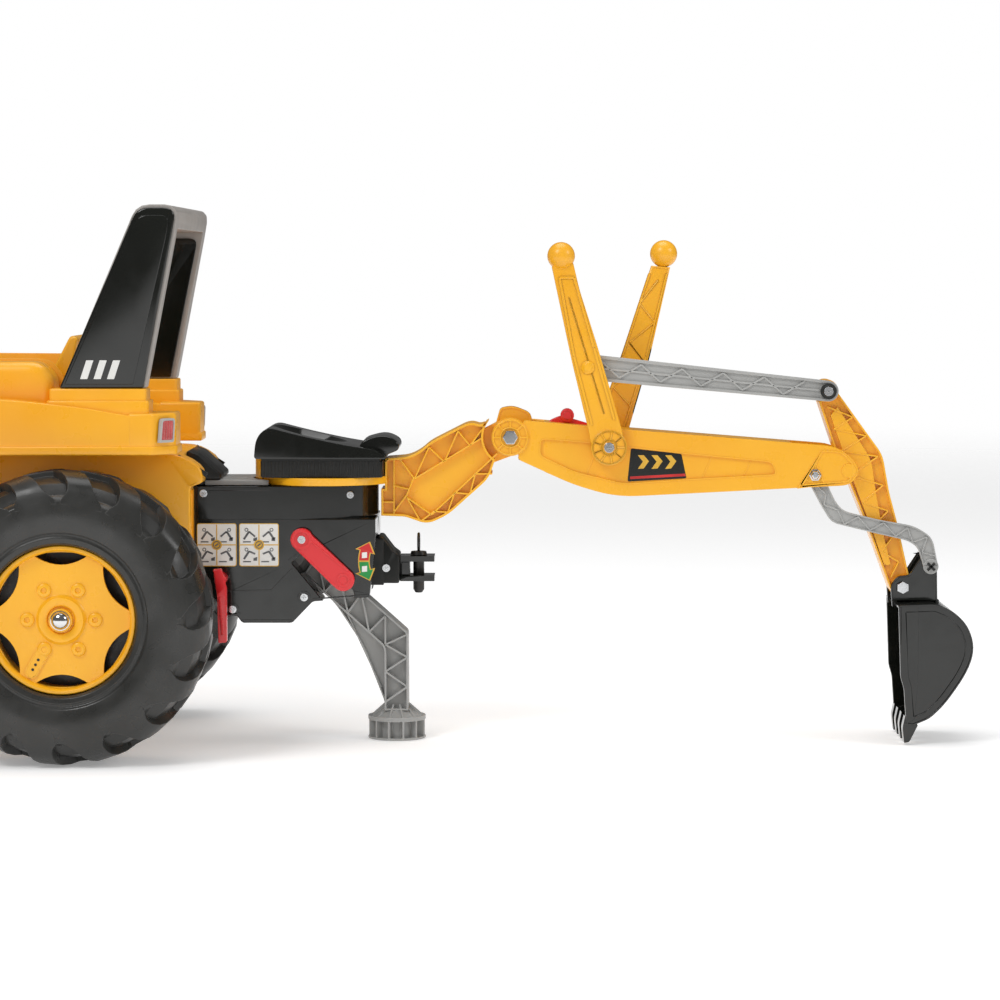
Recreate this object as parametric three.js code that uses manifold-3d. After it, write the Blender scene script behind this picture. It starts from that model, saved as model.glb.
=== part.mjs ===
// Ride-on toy tractor with a front loader and a rear digger, in millimetres, +Z up.
// The tractor faces -X and the digger reaches towards +X; the near side is -Y.
// Sizes along X are measured from the rear axle, in a group that sits REAR_AXLE_X from the
// middle of the footprint. Touching pieces keep a gap of GAP between them.
import * as THREE from "three";
import { mergeVertices } from "three/addons/utils/BufferGeometryUtils.js";
import Module from "manifold-3d";

// ---- driving dimensions ------------------------------------------------------------------

const GAP = 0.3;
const REAR_AXLE_X = -40;

// Tractor
const REAR_WHEEL = { x: 0, z: 165, radius: 165, width: 120, bead: 84, track: 410 };
const FRONT_WHEEL = { x: -560, z: 115, radius: 115, width: 80, bead: 60, track: 350 };
const AXLE_RADIUS = 8;
const BODY_HALF = 118; // half width of the hull between the rear wheels
const FENDER_OUT = 200; // outer face of a fender, from the middle
const DECK_Z = 342;
const BONNET_HALF = 78;
const CHASSIS = { half: 28, bottom: 150, top: 190, seat: 215 };
const CRANK = { x: -300, z: 170, throw: 60 };
const HOOP = { out: 184, inside: 152, top: 625, clear: 598, base: 419.5 };
const STEERING = { x: -215, z: 505, radius: 88, lean: 0.52 };

// Front loader
const LOADER_PIVOT = { x: -250, z: 400 };
const LOADER_HINGE = { x: -740, z: 105 };
const LOADER_ARM = { inner: 84, outer: 98 };
const LOADER_BUCKET = { half: 200, wall: 5, lip: -955, back: -757, bottom: 8, top: 165 };

// Digger housing, stabiliser and hitch
const HOUSING = { half: 70, top: 302, step: 263, slot: 23 };
const SLEW = { x: 279, housing: 63, arm: 66.3, plate: 79 };
const LEG = { x: 242, z: 218, half: 20, foot: 34, footX: 363 };
const LOCK_HUB = { x: 256, z: 241 };
const LOCK_END = { x: 304, z: 193.5 };
const HITCH = { face: 342, jaw: 367, end: 408, x: 389 };

// Digger arm
const BOOM_PIVOT = { x: 497, z: 357 };
const BOOM = { half: 33, eye: 22, eyeHalf: 15, clear: 38, cheek: 3 };
const LEVER_HUB = { x: 612, z: 346 };
const DIPPER_PIVOT = { x: 892.5, z: 318 };
const ROD_THROW = { x: -25, z: 93 }; // lever hub to rod pin, the same as dipper pivot to rod pin
const DIPPER_HALF = 20;
const PIN_RADIUS = 5; // of the pins that join levers, rod, dipper, link and bucket
const LINK_PIVOT = { x: 853, z: 313 };
const LINK_END = { x: 989.5, z: 205.5 };
const BUCKET_HINGE = { x: 957, z: 180.5 };
const BUCKET = { half: 65, wall: 3.5, teeth: 4 };

// ---- materials ---------------------------------------------------------------------------

const paint = (color, roughness, metalness = 0) =>
  new THREE.MeshStandardMaterial({ color, roughness, metalness });
const YELLOW = paint(0xfcc330, 0.35);
const BLACK = paint(0x191b16, 0.25);
const TYRE = paint(0x464644, 0.6);
const GREY = paint(0x9a9a96, 0.45);
const HOOP_GREY = paint(0xa5a09b, 0.45);
const RED = paint(0xe1322d, 0.35);
const DARK_STEEL = paint(0x30312f, 0.5, 0.4);
const CHROME = paint(0xd8dadb, 0.15, 1);
const LENS = paint(0xc84a4a, 0.15);

// ---- solids ------------------------------------------------------------------------------

const wasm = await Module();
wasm.setup();

// A closed geometry as a solid, turned the right way out.
function solid(geometry) {
  const bare = geometry.index ? geometry.toNonIndexed() : geometry.clone();
  bare.deleteAttribute("normal");
  bare.deleteAttribute("uv");
  const merged = mergeVertices(bare, 1e-3);
  const corners = merged.attributes.position.array;
  const triVerts = new Uint32Array(merged.index.array);
  const build = () =>
    new wasm.Manifold(new wasm.Mesh({ numProp: 3, vertProperties: corners, triVerts }));
  const made = build();
  if (made.volume() > 0) return made;
  for (let i = 0; i < triVerts.length; i += 3) {
    const first = triVerts[i];
    triVerts[i] = triVerts[i + 1];
    triVerts[i + 1] = first;
  }
  return build();
}

// A solid's surface as a geometry with flat faces.
function surface(shape) {
  const mesh = shape.getMesh();
  const geometry = new THREE.BufferGeometry();
  const corners = new Float32Array(mesh.vertProperties);
  geometry.setAttribute("position", new THREE.BufferAttribute(corners, 3));
  geometry.setIndex(new THREE.BufferAttribute(new Uint32Array(mesh.triVerts), 1));
  const flat = geometry.toNonIndexed();
  flat.computeVertexNormals();
  return flat;
}

function join(...parts) {
  return surface(parts.map(solid).reduce((whole, part) => whole.add(part)));
}

function cut(base, ...tools) {
  return surface(tools.map(solid).reduce((whole, tool) => whole.subtract(tool), solid(base)));
}

function common(a, b) {
  return surface(solid(a).intersect(solid(b)));
}

// The same geometry on the far side, mirrored in the plane y = 0.
function mirrored(geometry) {
  return surface(solid(geometry.clone().scale(1, -1, 1)));
}

// A closed path through [a, b, corner radius] points.
function outline(points) {
  const shape = new THREE.Shape();
  points.forEach(([a, b, radius = 0], i) => {
    const here = new THREE.Vector2(a, b);
    const towards = ([c, d]) => {
      const way = new THREE.Vector2(c, d).sub(here);
      return way.setLength(Math.min(radius, way.length() / 2.05)).add(here);
    };
    const enter = towards(points[(i + points.length - 1) % points.length]);
    const leave = towards(points[(i + 1) % points.length]);
    if (radius === 0) enter.copy(here);
    if (i === 0) shape.moveTo(enter.x, enter.y);
    else shape.lineTo(enter.x, enter.y);
    if (radius > 0) shape.quadraticCurveTo(a, b, leave.x, leave.y);
  });
  return shape;
}

function extruded(shape, depth, bevel, curveSegments) {
  return new THREE.ExtrudeGeometry(shape, {
    depth: depth - 2 * bevel,
    curveSegments,
    bevelEnabled: bevel > 0,
    bevelSize: bevel,
    bevelThickness: bevel,
    bevelOffset: -bevel,
    bevelSegments: 1,
  }).translate(0, 0, bevel);
}

// An outline in X and Z, between y0 and y1.
function slab(points, y0, y1, bevel = 0) {
  const body = extruded(outline(points), y1 - y0, bevel, 3);
  return body.rotateX(Math.PI / 2).translate(0, y1, 0);
}

// An outline in X and Y, between z0 and z1.
function layer(points, z0, z1, bevel = 0) {
  return extruded(outline(points), z1 - z0, bevel, 3).translate(0, 0, z0);
}

function box(x0, x1, y0, y1, z0, z1) {
  const body = new THREE.BoxGeometry(x1 - x0, y1 - y0, z1 - z0);
  return body.translate((x0 + x1) / 2, (y0 + y1) / 2, (z0 + z1) / 2);
}

// A cylinder along Y, with a flat of its outline facing down.
function pin({ x, z }, radius, y0, y1, sides = 16) {
  const body = new THREE.CylinderGeometry(radius, radius, y1 - y0, sides, 1, false, Math.PI / sides);
  return body.translate(x, (y0 + y1) / 2, z);
}

// A cylinder or cone along Z.
function post(x, y, radius, z0, z1, sides = 24, topRadius = radius) {
  const body = new THREE.CylinderGeometry(topRadius, radius, z1 - z0, sides);
  return body.rotateX(Math.PI / 2).translate(x, y, (z0 + z1) / 2);
}

// A link between two points of the X-Z plane, with round ends.
function link(a, b, radiusA, radiusB, y0, y1, sides = 16) {
  const turn = Math.atan2(b.z - a.z, b.x - a.x) + Math.PI / 2;
  const shape = new THREE.Shape();
  const lean = Math.asin((radiusA - radiusB) / Math.hypot(b.x - a.x, b.z - a.z));
  shape.absarc(a.x, a.z, radiusA, turn - lean, turn + lean + Math.PI, false);
  shape.absarc(b.x, b.z, radiusB, turn + lean + Math.PI, turn - lean + 2 * Math.PI, false);
  const body = extruded(shape, y1 - y0, 0, sides / 2);
  return body.rotateX(Math.PI / 2).translate(0, y1, 0);
}

// A profile of [radius, y] points spun about an axle along Y.
function turned({ x, z }, profile, sides) {
  const flatDown = 1 / Math.cos(Math.PI / sides);
  const points = profile.map(([radius, y]) => new THREE.Vector2(radius * flatDown, y));
  return new THREE.LatheGeometry(points, sides, Math.PI / sides).translate(x, 0, z);
}

function ball(x, y, z, rx, ry = rx, rz = rx, across = 12, along = 8) {
  return new THREE.SphereGeometry(1, across, along).scale(rx, ry, rz).translate(x, y, z);
}

// ---- scene graph -------------------------------------------------------------------------

const backhoe_loader = new THREE.Group();
backhoe_loader.position.x = REAR_AXLE_X;

function add(name, geometry, material) {
  const mesh = new THREE.Mesh(geometry, material);
  mesh.name = name;
  backhoe_loader.add(mesh);
}

function addPair(name, nearGeometry, material) {
  add(name + "_near", nearGeometry, material);
  add(name + "_far", mirrored(nearGeometry), material);
}

// ---- wheels ------------------------------------------------------------------------------

// A hollow tyre section about the wheel's middle plane, from bead to bead.
function tyre(wheel, sides) {
  const middle = -wheel.track / 2;
  const half = wheel.width / 2;
  const tread = wheel.radius;
  const shoulder = wheel.radius * 0.93;
  const profile = [
    [wheel.bead, -half * 0.85],
    [wheel.radius * 0.72, -half],
    [shoulder, -half * 0.86],
    [tread, -half * 0.55],
    [tread, half * 0.55],
    [shoulder, half * 0.86],
    [wheel.radius * 0.72, half],
    [wheel.bead, half * 0.85],
    [wheel.bead, -half * 0.85],
  ];
  return turned(wheel, profile.map(([radius, y]) => [radius, middle + y]), sides);
}

// A dished rim with a raised hub; its barrel carries the tyre.
function rim(wheel, boreRadius, sides) {
  const middle = -wheel.track / 2;
  const half = wheel.width / 2;
  const edge = wheel.bead - GAP;
  const hub = wheel.bead * 0.32;
  const face = middle - half * 0.66;
  return turned(wheel, [
    [boreRadius, face - 9],
    [hub, face - 9],
    [hub * 1.1, face],
    [edge, face],
    [edge, middle + half * 0.75],
    [edge - 7, middle + half * 0.75],
    [edge - 7, face + 9],
    [hub, face + 9],
    [hub, middle + half * 0.75],
    [boreRadius, middle + half * 0.75],
    [boreRadius, face - 9],
  ], sides);
}

// Six lens-shaped windows through the rim, between its six bolt bosses.
function rimWindows(wheel, count) {
  const lens = new THREE.Shape();
  const reach = wheel.bead * 0.365;
  const centre = wheel.bead * 0.83;
  lens.moveTo(-reach, centre + 2);
  lens.quadraticCurveTo(0, centre + 9, reach, centre + 2);
  lens.quadraticCurveTo(0, centre - 19, -reach, centre + 2);
  return Array.from({ length: count }, (_, i) => {
    const window = new THREE.ExtrudeGeometry(lens, {
      depth: 60,
      curveSegments: 2,
      bevelEnabled: false,
    });
    const face = -wheel.track / 2 - wheel.width * 0.33;
    window.rotateX(Math.PI / 2).translate(0, face + 30, 0);
    return window.rotateY((2 * Math.PI * i) / count).translate(wheel.x, 0, wheel.z);
  });
}

const REAR_HUB_Y = -REAR_WHEEL.track / 2 - REAR_WHEEL.width * 0.33 - 9;
const REAR_BORE = AXLE_RADIUS + 0.5;
addPair("rear_tyre", tyre(REAR_WHEEL, 32), TYRE);
addPair("rear_rim", cut(rim(REAR_WHEEL, REAR_BORE, 32), ...rimWindows(REAR_WHEEL, 6)), YELLOW);
addPair(
  "hub_cap",
  turned(REAR_WHEEL, [
    [0, REAR_HUB_Y - 8],
    [7, REAR_HUB_Y - 7],
    [11, REAR_HUB_Y - GAP],
    [0, REAR_HUB_Y - GAP],
  ], 12),
  CHROME,
);
add("rear_axle", pin(REAR_WHEEL, AXLE_RADIUS, REAR_HUB_Y, -REAR_HUB_Y, 12), DARK_STEEL);

const FRONT_HUB_Y = -FRONT_WHEEL.track / 2 - FRONT_WHEEL.width * 0.33 - 9;
addPair("front_tyre", tyre(FRONT_WHEEL, 24), TYRE);
addPair("front_rim", rim(FRONT_WHEEL, AXLE_RADIUS + 0.5, 24), YELLOW);
add(
  "front_axle",
  join(
    box(FRONT_WHEEL.x - 14, FRONT_WHEEL.x + 14, -118, 118, 124, CHASSIS.bottom - 0.5),
    box(FRONT_WHEEL.x - 12, FRONT_WHEEL.x + 12, -120, -104, 103, 130),
    box(FRONT_WHEEL.x - 12, FRONT_WHEEL.x + 12, 104, 120, 103, 130),
    pin(FRONT_WHEEL, AXLE_RADIUS, FRONT_HUB_Y, -110, 12),
    pin(FRONT_WHEEL, AXLE_RADIUS, 110, -FRONT_HUB_Y, 12),
    post(FRONT_WHEEL.x, 0, 10, 140, CHASSIS.top - 8, 16),
  ),
  DARK_STEEL,
);

// ---- chassis, drive and steering ---------------------------------------------------------

const riser = (x0, x1) =>
  box(x0, x1, -CHASSIS.half, CHASSIS.half, CHASSIS.top - 5, CHASSIS.seat - GAP);
add(
  "chassis_frame",
  cut(
    join(
      box(-630, 112, -CHASSIS.half, CHASSIS.half, CHASSIS.bottom, CHASSIS.top),
      riser(-620, -370),
      riser(-190, -140),
      riser(50, 112),
    ),
    pin(REAR_WHEEL, AXLE_RADIUS + 0.6, -40, 40, 12),
    pin(CRANK, AXLE_RADIUS + 0.6, -40, 40, 12),
    post(FRONT_WHEEL.x, 0, 10.6, 140, CHASSIS.top - 7, 16),
  ),
  DARK_STEEL,
);

const CRANK_PIN_NEAR = { x: CRANK.x - CRANK.throw, z: CRANK.z };
const CRANK_PIN_FAR = { x: CRANK.x + CRANK.throw, z: CRANK.z };
add(
  "pedal_crank",
  join(
    pin(CRANK, AXLE_RADIUS, -92, 92, 12),
    link(CRANK, CRANK_PIN_NEAR, 12, 10, -92, -82, 8),
    link(CRANK, CRANK_PIN_FAR, 12, 10, 82, 92, 8),
    pin(CRANK_PIN_NEAR, 5, -141, -88, 8),
    pin(CRANK_PIN_FAR, 5, 88, 141, 8),
  ),
  DARK_STEEL,
);
const pedal = ({ x, z }, y0, y1) =>
  cut(box(x - 24, x + 24, y0, y1, z - 11, z + 11), pin({ x, z }, 5.6, y0 - 1, y1 + 1, 8));
add("pedal_near", pedal(CRANK_PIN_NEAR, -140, -94), BLACK);
add("pedal_far", pedal(CRANK_PIN_FAR, 94, 140), BLACK);
add(
  "chain_guard",
  cut(
    link(CRANK, REAR_WHEEL, 40, 34, 34, 48, 16),
    pin(CRANK, AXLE_RADIUS + 2, 30, 50, 12),
    pin(REAR_WHEEL, AXLE_RADIUS + 2, 30, 50, 12),
  ),
  BLACK,
);

// Places a geometry built along +Z onto the leaning steering shaft.
const onShaft = (geometry) =>
  geometry.rotateY(STEERING.lean).translate(STEERING.x, 0, STEERING.z);
function steeringWheel() {
  const ring = new THREE.TorusGeometry(STEERING.radius - 9, 9, 6, 20);
  const hub = post(0, 0, 22, -12, 10, 16);
  const shaft = post(0, 0, 8, -150, 0, 12);
  const spokes = [0, 1, 2].map((i) => {
    const spoke = box(10, STEERING.radius - 9, -8, 8, -5, 5);
    return spoke.rotateZ(Math.PI / 2 + (i * 2 * Math.PI) / 3);
  });
  return onShaft(join(ring, hub, shaft, ...spokes));
}
add("steering_wheel", steeringWheel(), BLACK);

// ---- bodywork ----------------------------------------------------------------------------

add(
  "body_hull",
  cut(
    slab(
      [
        [-200, CHASSIS.seat],
        [-200, DECK_Z, 20],
        [118, DECK_Z, 14],
        [145, 326, 16],
        [145, 309, 3],
        [131, 304, 3],
        [131, CHASSIS.seat, 8],
      ],
      -BODY_HALF,
      BODY_HALF,
    ),
    box(121, 160, -76, 76, 100, 400),
  ),
  YELLOW,
);

add(
  "bonnet",
  cut(
    slab(
      [
        [-640, CHASSIS.seat, 10],
        [-645, 400, 50],
        [-560, 446, 60],
        [-216, 458, 20],
        [-216, CHASSIS.seat],
      ],
      -BONNET_HALF,
      BONNET_HALF,
    ),
    onShaft(post(0, 0, 9, -160, -10, 12)),
    pin(LOADER_PIVOT, 9.6, -90, -60, 12),
    pin(LOADER_PIVOT, 9.6, 60, 90, 12),
  ),
  YELLOW,
);
add(
  "grille",
  slab(
    [
      [-645.5, 225, 3],
      [-650.5, 392, 6],
      [-656, 388, 6],
      [-654, 225, 3],
    ],
    -58,
    58,
  ),
  BLACK,
);

// A fender with its armrest hump, hoop pedestal and chamfered rear corner.
function fender() {
  const inner = -BODY_HALF - GAP;
  return join(
    slab(
      [
        [-206, 262, 3],
        [-206, 330, 30],
        [-185, 408, 40],
        [-72, 408, 30],
        [23, 398, 20],
        [90, 386, 8],
        [96, 348, 3],
        [-95, 348, 20],
        [-145, 312, 20],
        [-176, 262, 3],
      ],
      -FENDER_OUT,
      inner,
    ),
    slab(
      [
        [-190, 390],
        [-182, 448, 26],
        [-30, 449, 14],
        [-16, 430, 6],
        [-16, 390],
      ],
      -176,
      inner,
      8,
    ),
    box(-19, 90, -193, -146, 380, HOOP.base - GAP),
    layer(
      [
        [60, inner],
        [121, inner, 4],
        [121, -172, 5],
        [96, -FENDER_OUT, 5],
        [60, -FENDER_OUT],
      ],
      348.5,
      392,
      3,
    ),
  );
}
addPair("fender", fender(), YELLOW);
addPair(
  "tail_light",
  box(-14, 14, -5.5, -GAP, 358, 386).rotateZ(0.84).translate(109.5, -187, 0),
  LENS,
);

// A scoop seat: a block with a high back, hollowed by the sitter's shape.
add(
  "tractor_seat",
  cut(
    slab(
      [
        [-185, DECK_Z + GAP, 4],
        [-190, 385, 14],
        [-60, 382, 20],
        [-26, 440, 30],
        [-6, 478, 6],
        [3, 474, 4],
        [-8, 420, 20],
        [-12, DECK_Z + GAP, 4],
      ],
      -104,
      104,
    ),
    ball(-105, 0, 412, 78, 84, 48),
  ),
  YELLOW,
);

// The roll hoop leans back; its side outline is shared by the cover panels.
const HOOP_SIDE = [
  [-8, HOOP.base],
  [75, HOOP.base],
  [124, HOOP.top - 4, 10],
  [80, HOOP.top - 4, 12],
];
const HOOP_OUTER = [
  [-8, HOOP.base],
  [88, HOOP.base],
  [121, 590],
  [127, HOOP.top, 16],
  [80, HOOP.top, 14],
];
add(
  "roll_hoop",
  cut(
    slab(HOOP_OUTER, -HOOP.out, HOOP.out, 0),
    box(-40, 200, -HOOP.inside, HOOP.inside, 380, HOOP.clear),
  ),
  HOOP_GREY,
);
addPair("hoop_panel", slab(HOOP_SIDE, -HOOP.out - 6, -HOOP.out - GAP, 1), BLACK);
addPair(
  "hoop_lining",
  slab(
    [
      [2, HOOP.base + 2],
      [82, HOOP.base + 2],
      [116, HOOP.clear - 8, 10],
      [74, HOOP.clear - 8, 10],
    ],
    -HOOP.inside + GAP,
    -HOOP.inside + 4,
  ),
  BLACK,
);

// ---- front loader ------------------------------------------------------------------------

const ARM_ELBOW = { x: -600, z: 335 };
const LOADER_LEVER_TOP = { x: -222, z: 560 };
function loaderArm(y0, y1) {
  return join(
    link(LOADER_PIVOT, ARM_ELBOW, 22, 18, y0, y1, 12),
    link(ARM_ELBOW, LOADER_HINGE, 18, 14, y0, y1, 12),
  );
}
add(
  "loader_arm_near",
  join(
    loaderArm(-LOADER_ARM.outer, -LOADER_ARM.inner),
    link(LOADER_PIVOT, LOADER_LEVER_TOP, 14, 9, -LOADER_ARM.outer - 12, -LOADER_ARM.outer + 1, 8),
    ball(LOADER_LEVER_TOP.x, -LOADER_ARM.outer - 8, LOADER_LEVER_TOP.z, 14, 14, 14, 12, 8),
    pin(LOADER_PIVOT, 9, -92, -64, 12),
  ),
  YELLOW,
);
add(
  "loader_arm_far",
  join(
    loaderArm(LOADER_ARM.inner, LOADER_ARM.outer),
    pin(LOADER_PIVOT, 9, 64, 92, 12),
  ),
  YELLOW,
);
add(
  "loader_crossbar",
  pin({ x: -688, z: 190 }, 9, -LOADER_ARM.inner + GAP, LOADER_ARM.inner - GAP, 12),
  DARK_STEEL,
);

function loaderBucket() {
  const { half, wall, lip, back, bottom, top } = LOADER_BUCKET;
  const outer = [
    [lip, bottom],
    [back - 20, bottom, 30],
    [back, bottom + 40, 20],
    [back, top],
    [back - 40, top + 8],
    [back - 60, top - 8],
    [lip + 30, bottom + 12],
  ];
  const inner = [
    [lip - 1, bottom + wall + 0.2],
    [back - 20 - wall, bottom + wall, 26],
    [back - wall, bottom + 42, 18],
    [back - wall, top - 2],
    [back - 40, top + 2],
    [back - 40, top + 60],
    [lip - 1, top + 60],
  ];
  const ear = (y0) =>
    link({ x: back - 2, z: LOADER_HINGE.z }, LOADER_HINGE, 16, 12, y0, y0 + 10, 12);
  return join(
    cut(slab(outer, -half, half), slab(inner, -half + wall, half - wall)),
    ear(-LOADER_ARM.inner + GAP + 1),
    ear(LOADER_ARM.inner - GAP - 11),
  );
}
add("loader_bucket", loaderBucket(), YELLOW);

// ---- digger housing ----------------------------------------------------------------------

const SLEW_PIN = { radius: 12, bottom: 264 };

// The channel in which the leg swings, wider than the leg and hidden between the half shells.
const LEG_CHANNEL = [
  [219, 214, 6],
  [232, 243, 10],
  [252, 243, 6],
  [350, 194],
  [350, 140],
  [282, 140],
  [226, 196, 6],
];
// The diagonal window through both side walls, where the leg shows.
const LEG_WINDOW = [
  [243, 214, 4],
  [262, 228, 4],
  [316, 180, 4],
  [316, 150],
  [296, 150],
];
function housingHalf() {
  const lower = slab(
    [
      [130, HOUSING.step + 1],
      [130, 196, 6],
      [158, 166, 6],
      [163, 151, 3],
      [180, 151],
      [186, 143, 3],
      [244, 143, 3],
      [268, 168, 3],
      [334, 173, 4],
      [341, 240, 8],
      [341, HOUSING.step + 1],
    ],
    -HOUSING.half,
    -0.2,
    2,
  );
  const arc = (i) => (Math.PI / 2) * (i / 6);
  const rear = Array.from({ length: 7 }, (_, i) => [
    SLEW.x + SLEW.housing * Math.cos(arc(i)),
    -SLEW.housing * Math.sin(arc(i)),
  ]);
  const upper = layer(
    [[130, -0.2], [SLEW.x + SLEW.housing, -0.2], ...rear.slice(1), [252, -HOUSING.half], [130, -HOUSING.half]],
    HOUSING.step - 1,
    HOUSING.top,
  );
  return cut(
    join(lower, upper),
    slab(LEG_CHANNEL, -HOUSING.slot, 1),
    slab(LEG_WINDOW, -HOUSING.half - 2, 1),
    post(SLEW.x, 0, SLEW_PIN.radius + 0.5, SLEW_PIN.bottom - 1, HOUSING.top + 1, 16),
    pin(LEG, 6.5, -HOUSING.slot - 14, 1, 10),
  );
}
addPair("housing", housingHalf(), BLACK);
add(
  "housing_plate",
  cut(
    box(142, 217, -56, 56, HOUSING.top + GAP, HOUSING.top + 6.5),
    post(SLEW.x, 0, SLEW.plate + 5, HOUSING.top, HOUSING.top + 10, 32),
  ),
  GREY,
);

// The plate that hooks the housing onto the tractor, with its brace over the housing.
add(
  "coupling_bracket",
  slab(
    [
      [121.4, 222],
      [121.4, 343, 3],
      [134, 338, 3],
      [160, 314, 2],
      [160, 309.6],
      [141.5, 309.6],
      [141.5, 302.5],
      [129.6, 302.5],
      [129.6, 222],
    ],
    -60,
    60,
  ),
  BLACK,
);

const LATCH_HUB = { x: 163, z: 196 };
add(
  "coupling_latch",
  join(
    pin(LATCH_HUB, 7, -96, -HOUSING.half - GAP, 12),
    slab(
      [
        [155, 208, 2],
        [165, 209, 2],
        [171, 186, 2],
        [171, 124, 2],
        [161, 123, 2],
        [160, 178, 2],
      ],
      -104,
      -94,
    ),
  ),
  RED,
);

add(
  "leg_lock_lever",
  join(
    link(LOCK_HUB, LOCK_END, 15, 12.5, -79, -HOUSING.half - 2.3, 20),
    pin(LOCK_HUB, 9, -82, -HOUSING.half - GAP, 16),
    pin(LOCK_END, 7, -82, -75, 12),
  ),
  RED,
);

// ---- stabiliser leg ----------------------------------------------------------------------

function stabiliserLeg() {
  const { x, z, half, foot, footX } = LEG;
  const stem = 14;
  const shin = slab(
    [
      [footX - stem, 20],
      [footX - stem, 109, 6],
      [x + 6, z - stem - 5],
      [x + 16, z + 13],
      [footX + stem, 126, 4],
      [footX + stem, 20],
    ],
    -half,
    half,
  );
  const web = slab(
    [
      [290, 162],
      [312, 132, 12],
      [340, 72, 12],
      [footX - stem + 2, 44],
      [footX - stem + 2, 112],
    ],
    -4,
    4,
  );
  const base = new THREE.LatheGeometry(
    [
      [0, 0],
      [foot, 0],
      [foot, 27],
      [16, 42],
      [0, 42],
    ].map(([radius, height]) => new THREE.Vector2(radius, height)),
    24,
  ).rotateX(Math.PI / 2);
  base.translate(footX, 0, 0);
  return join(
    shin,
    web,
    pin(LEG, stem, -half, half, 16),
    pin(LEG, 6, -half - 15, half + 15, 10),
    base,
  );
}
add("stabiliser_leg", stabiliserLeg(), GREY);

// ---- rear hitch --------------------------------------------------------------------------

add(
  "hitch_bracket",
  slab(
    [
      [HITCH.face, 240, 2],
      [347, 240, 2],
      [360, 223, 2],
      [HITCH.jaw, 218, 2],
      [HITCH.jaw, 186, 2],
      [HITCH.face, 186],
    ],
    -34,
    34,
  ),
  BLACK,
);
const HITCH_PIN_RADIUS = 6.5;
add(
  "hitch_jaw",
  cut(
    join(
      box(HITCH.jaw + GAP, HITCH.end, -20, 20, 210, 216.5),
      box(HITCH.jaw + GAP, HITCH.end, -20, 20, 187, 193.5),
      box(HITCH.jaw + GAP, 379, -14, 14, 190, 214),
    ),
    post(HITCH.x, 0, HITCH_PIN_RADIUS + 0.6, 180, 220, 16),
  ),
  BLACK,
);
add(
  "hitch_pin",
  join(
    post(HITCH.x, 0, HITCH_PIN_RADIUS, 172, 219, 16),
    post(HITCH.x, 0, 10, 216.5 + GAP, 221, 16),
    new THREE.TorusGeometry(10, 1.6, 6, 14).rotateY(Math.PI / 2).translate(HITCH.x, 0, 231.5),
  ),
  DARK_STEEL,
);

// ---- slewing seat and swing arm ----------------------------------------------------------

add(
  "swing_plate",
  join(
    post(SLEW.x, 0, SLEW.plate, HOUSING.top + 0.5, 311.5, 32),
    common(
      slab([[196, 308], [197, 334, 3], [206.5, 334, 2], [208, 308]], -46, 46),
      post(SLEW.x, 0, 82, 300, 340, 32),
    ),
    post(SLEW.x, 0, SLEW_PIN.radius, SLEW_PIN.bottom, 305, 16),
  ),
  YELLOW,
);

const SEAT_BASE = 311.5 + GAP;
add(
  "scoop_seat",
  cut(
    join(
      slab(
        [
          [202, 334, 6],
          [204, 360, 12],
          [222, 371, 12],
          [250, 370, 10],
          [318, 357, 10],
          [350, 361, 16],
          [369, 350, 12],
          [366, 340, 5],
          [345, 333, 4],
        ],
        -78,
        78,
      ),
      slab([[209, SEAT_BASE], [209, 340], [346, 340], [349, SEAT_BASE]], -70, 70, 4),
    ),
    ball(278, 0, 384, 72, 62, 42),
  ),
  BLACK,
);

function swingArm() {
  const side = [
    [330, 264.8],
    [330, 330, 3],
    [378, 334, 8],
    [392, 341, 8],
    [403, 351, 8],
    [450, 375, 10],
    [462, 371, 6],
    [484, 380, 3],
    [506, 357],
    [504, 334, 3],
    [472, 309, 10],
    [424, 266, 10],
    [400, 255, 10],
    [374, 264, 4],
  ];
  const fin = [
    [480, 372],
    [485, 390, 4],
    [500, 393, 8],
    [520, 385, 6],
    [523, 376, 3],
    [505, 362],
    [485, 362],
  ];
  const body = cut(
    slab(side, -31, 31),
    post(SLEW.x, 0, SLEW.arm, 250, HOUSING.top - 4, 48),
    post(SLEW.x, 0, SLEW.plate + 0.8, HOUSING.top - 5, 350, 48),
    pin(BOOM_PIVOT, 31, -40, 40, 32),
  );
  const neck = link({ x: 462, z: 342 }, BOOM_PIVOT, 22, BOOM.eye, -BOOM.eyeHalf, BOOM.eyeHalf, 20);
  const windows = [
    [
      [371, 285, 5],
      [375, 312, 5],
      [423, 327, 8],
      [471, 351, 5],
      [469, 332, 6],
      [438, 300, 8],
      [407, 276, 6],
      [374, 277, 5],
    ],
  ];
  const recess = (y0, y1) => windows.map((window) => slab(window, y0, y1));
  return cut(
    join(body, neck, slab(fin, -8, 8)),
    ...recess(-40, -27),
    ...recess(27, 40),
    pin(BOOM_PIVOT, 6.5, -20, 20, 12),
  );
}
add("swing_arm", swingArm(), YELLOW);

// ---- boom --------------------------------------------------------------------------------

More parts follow.
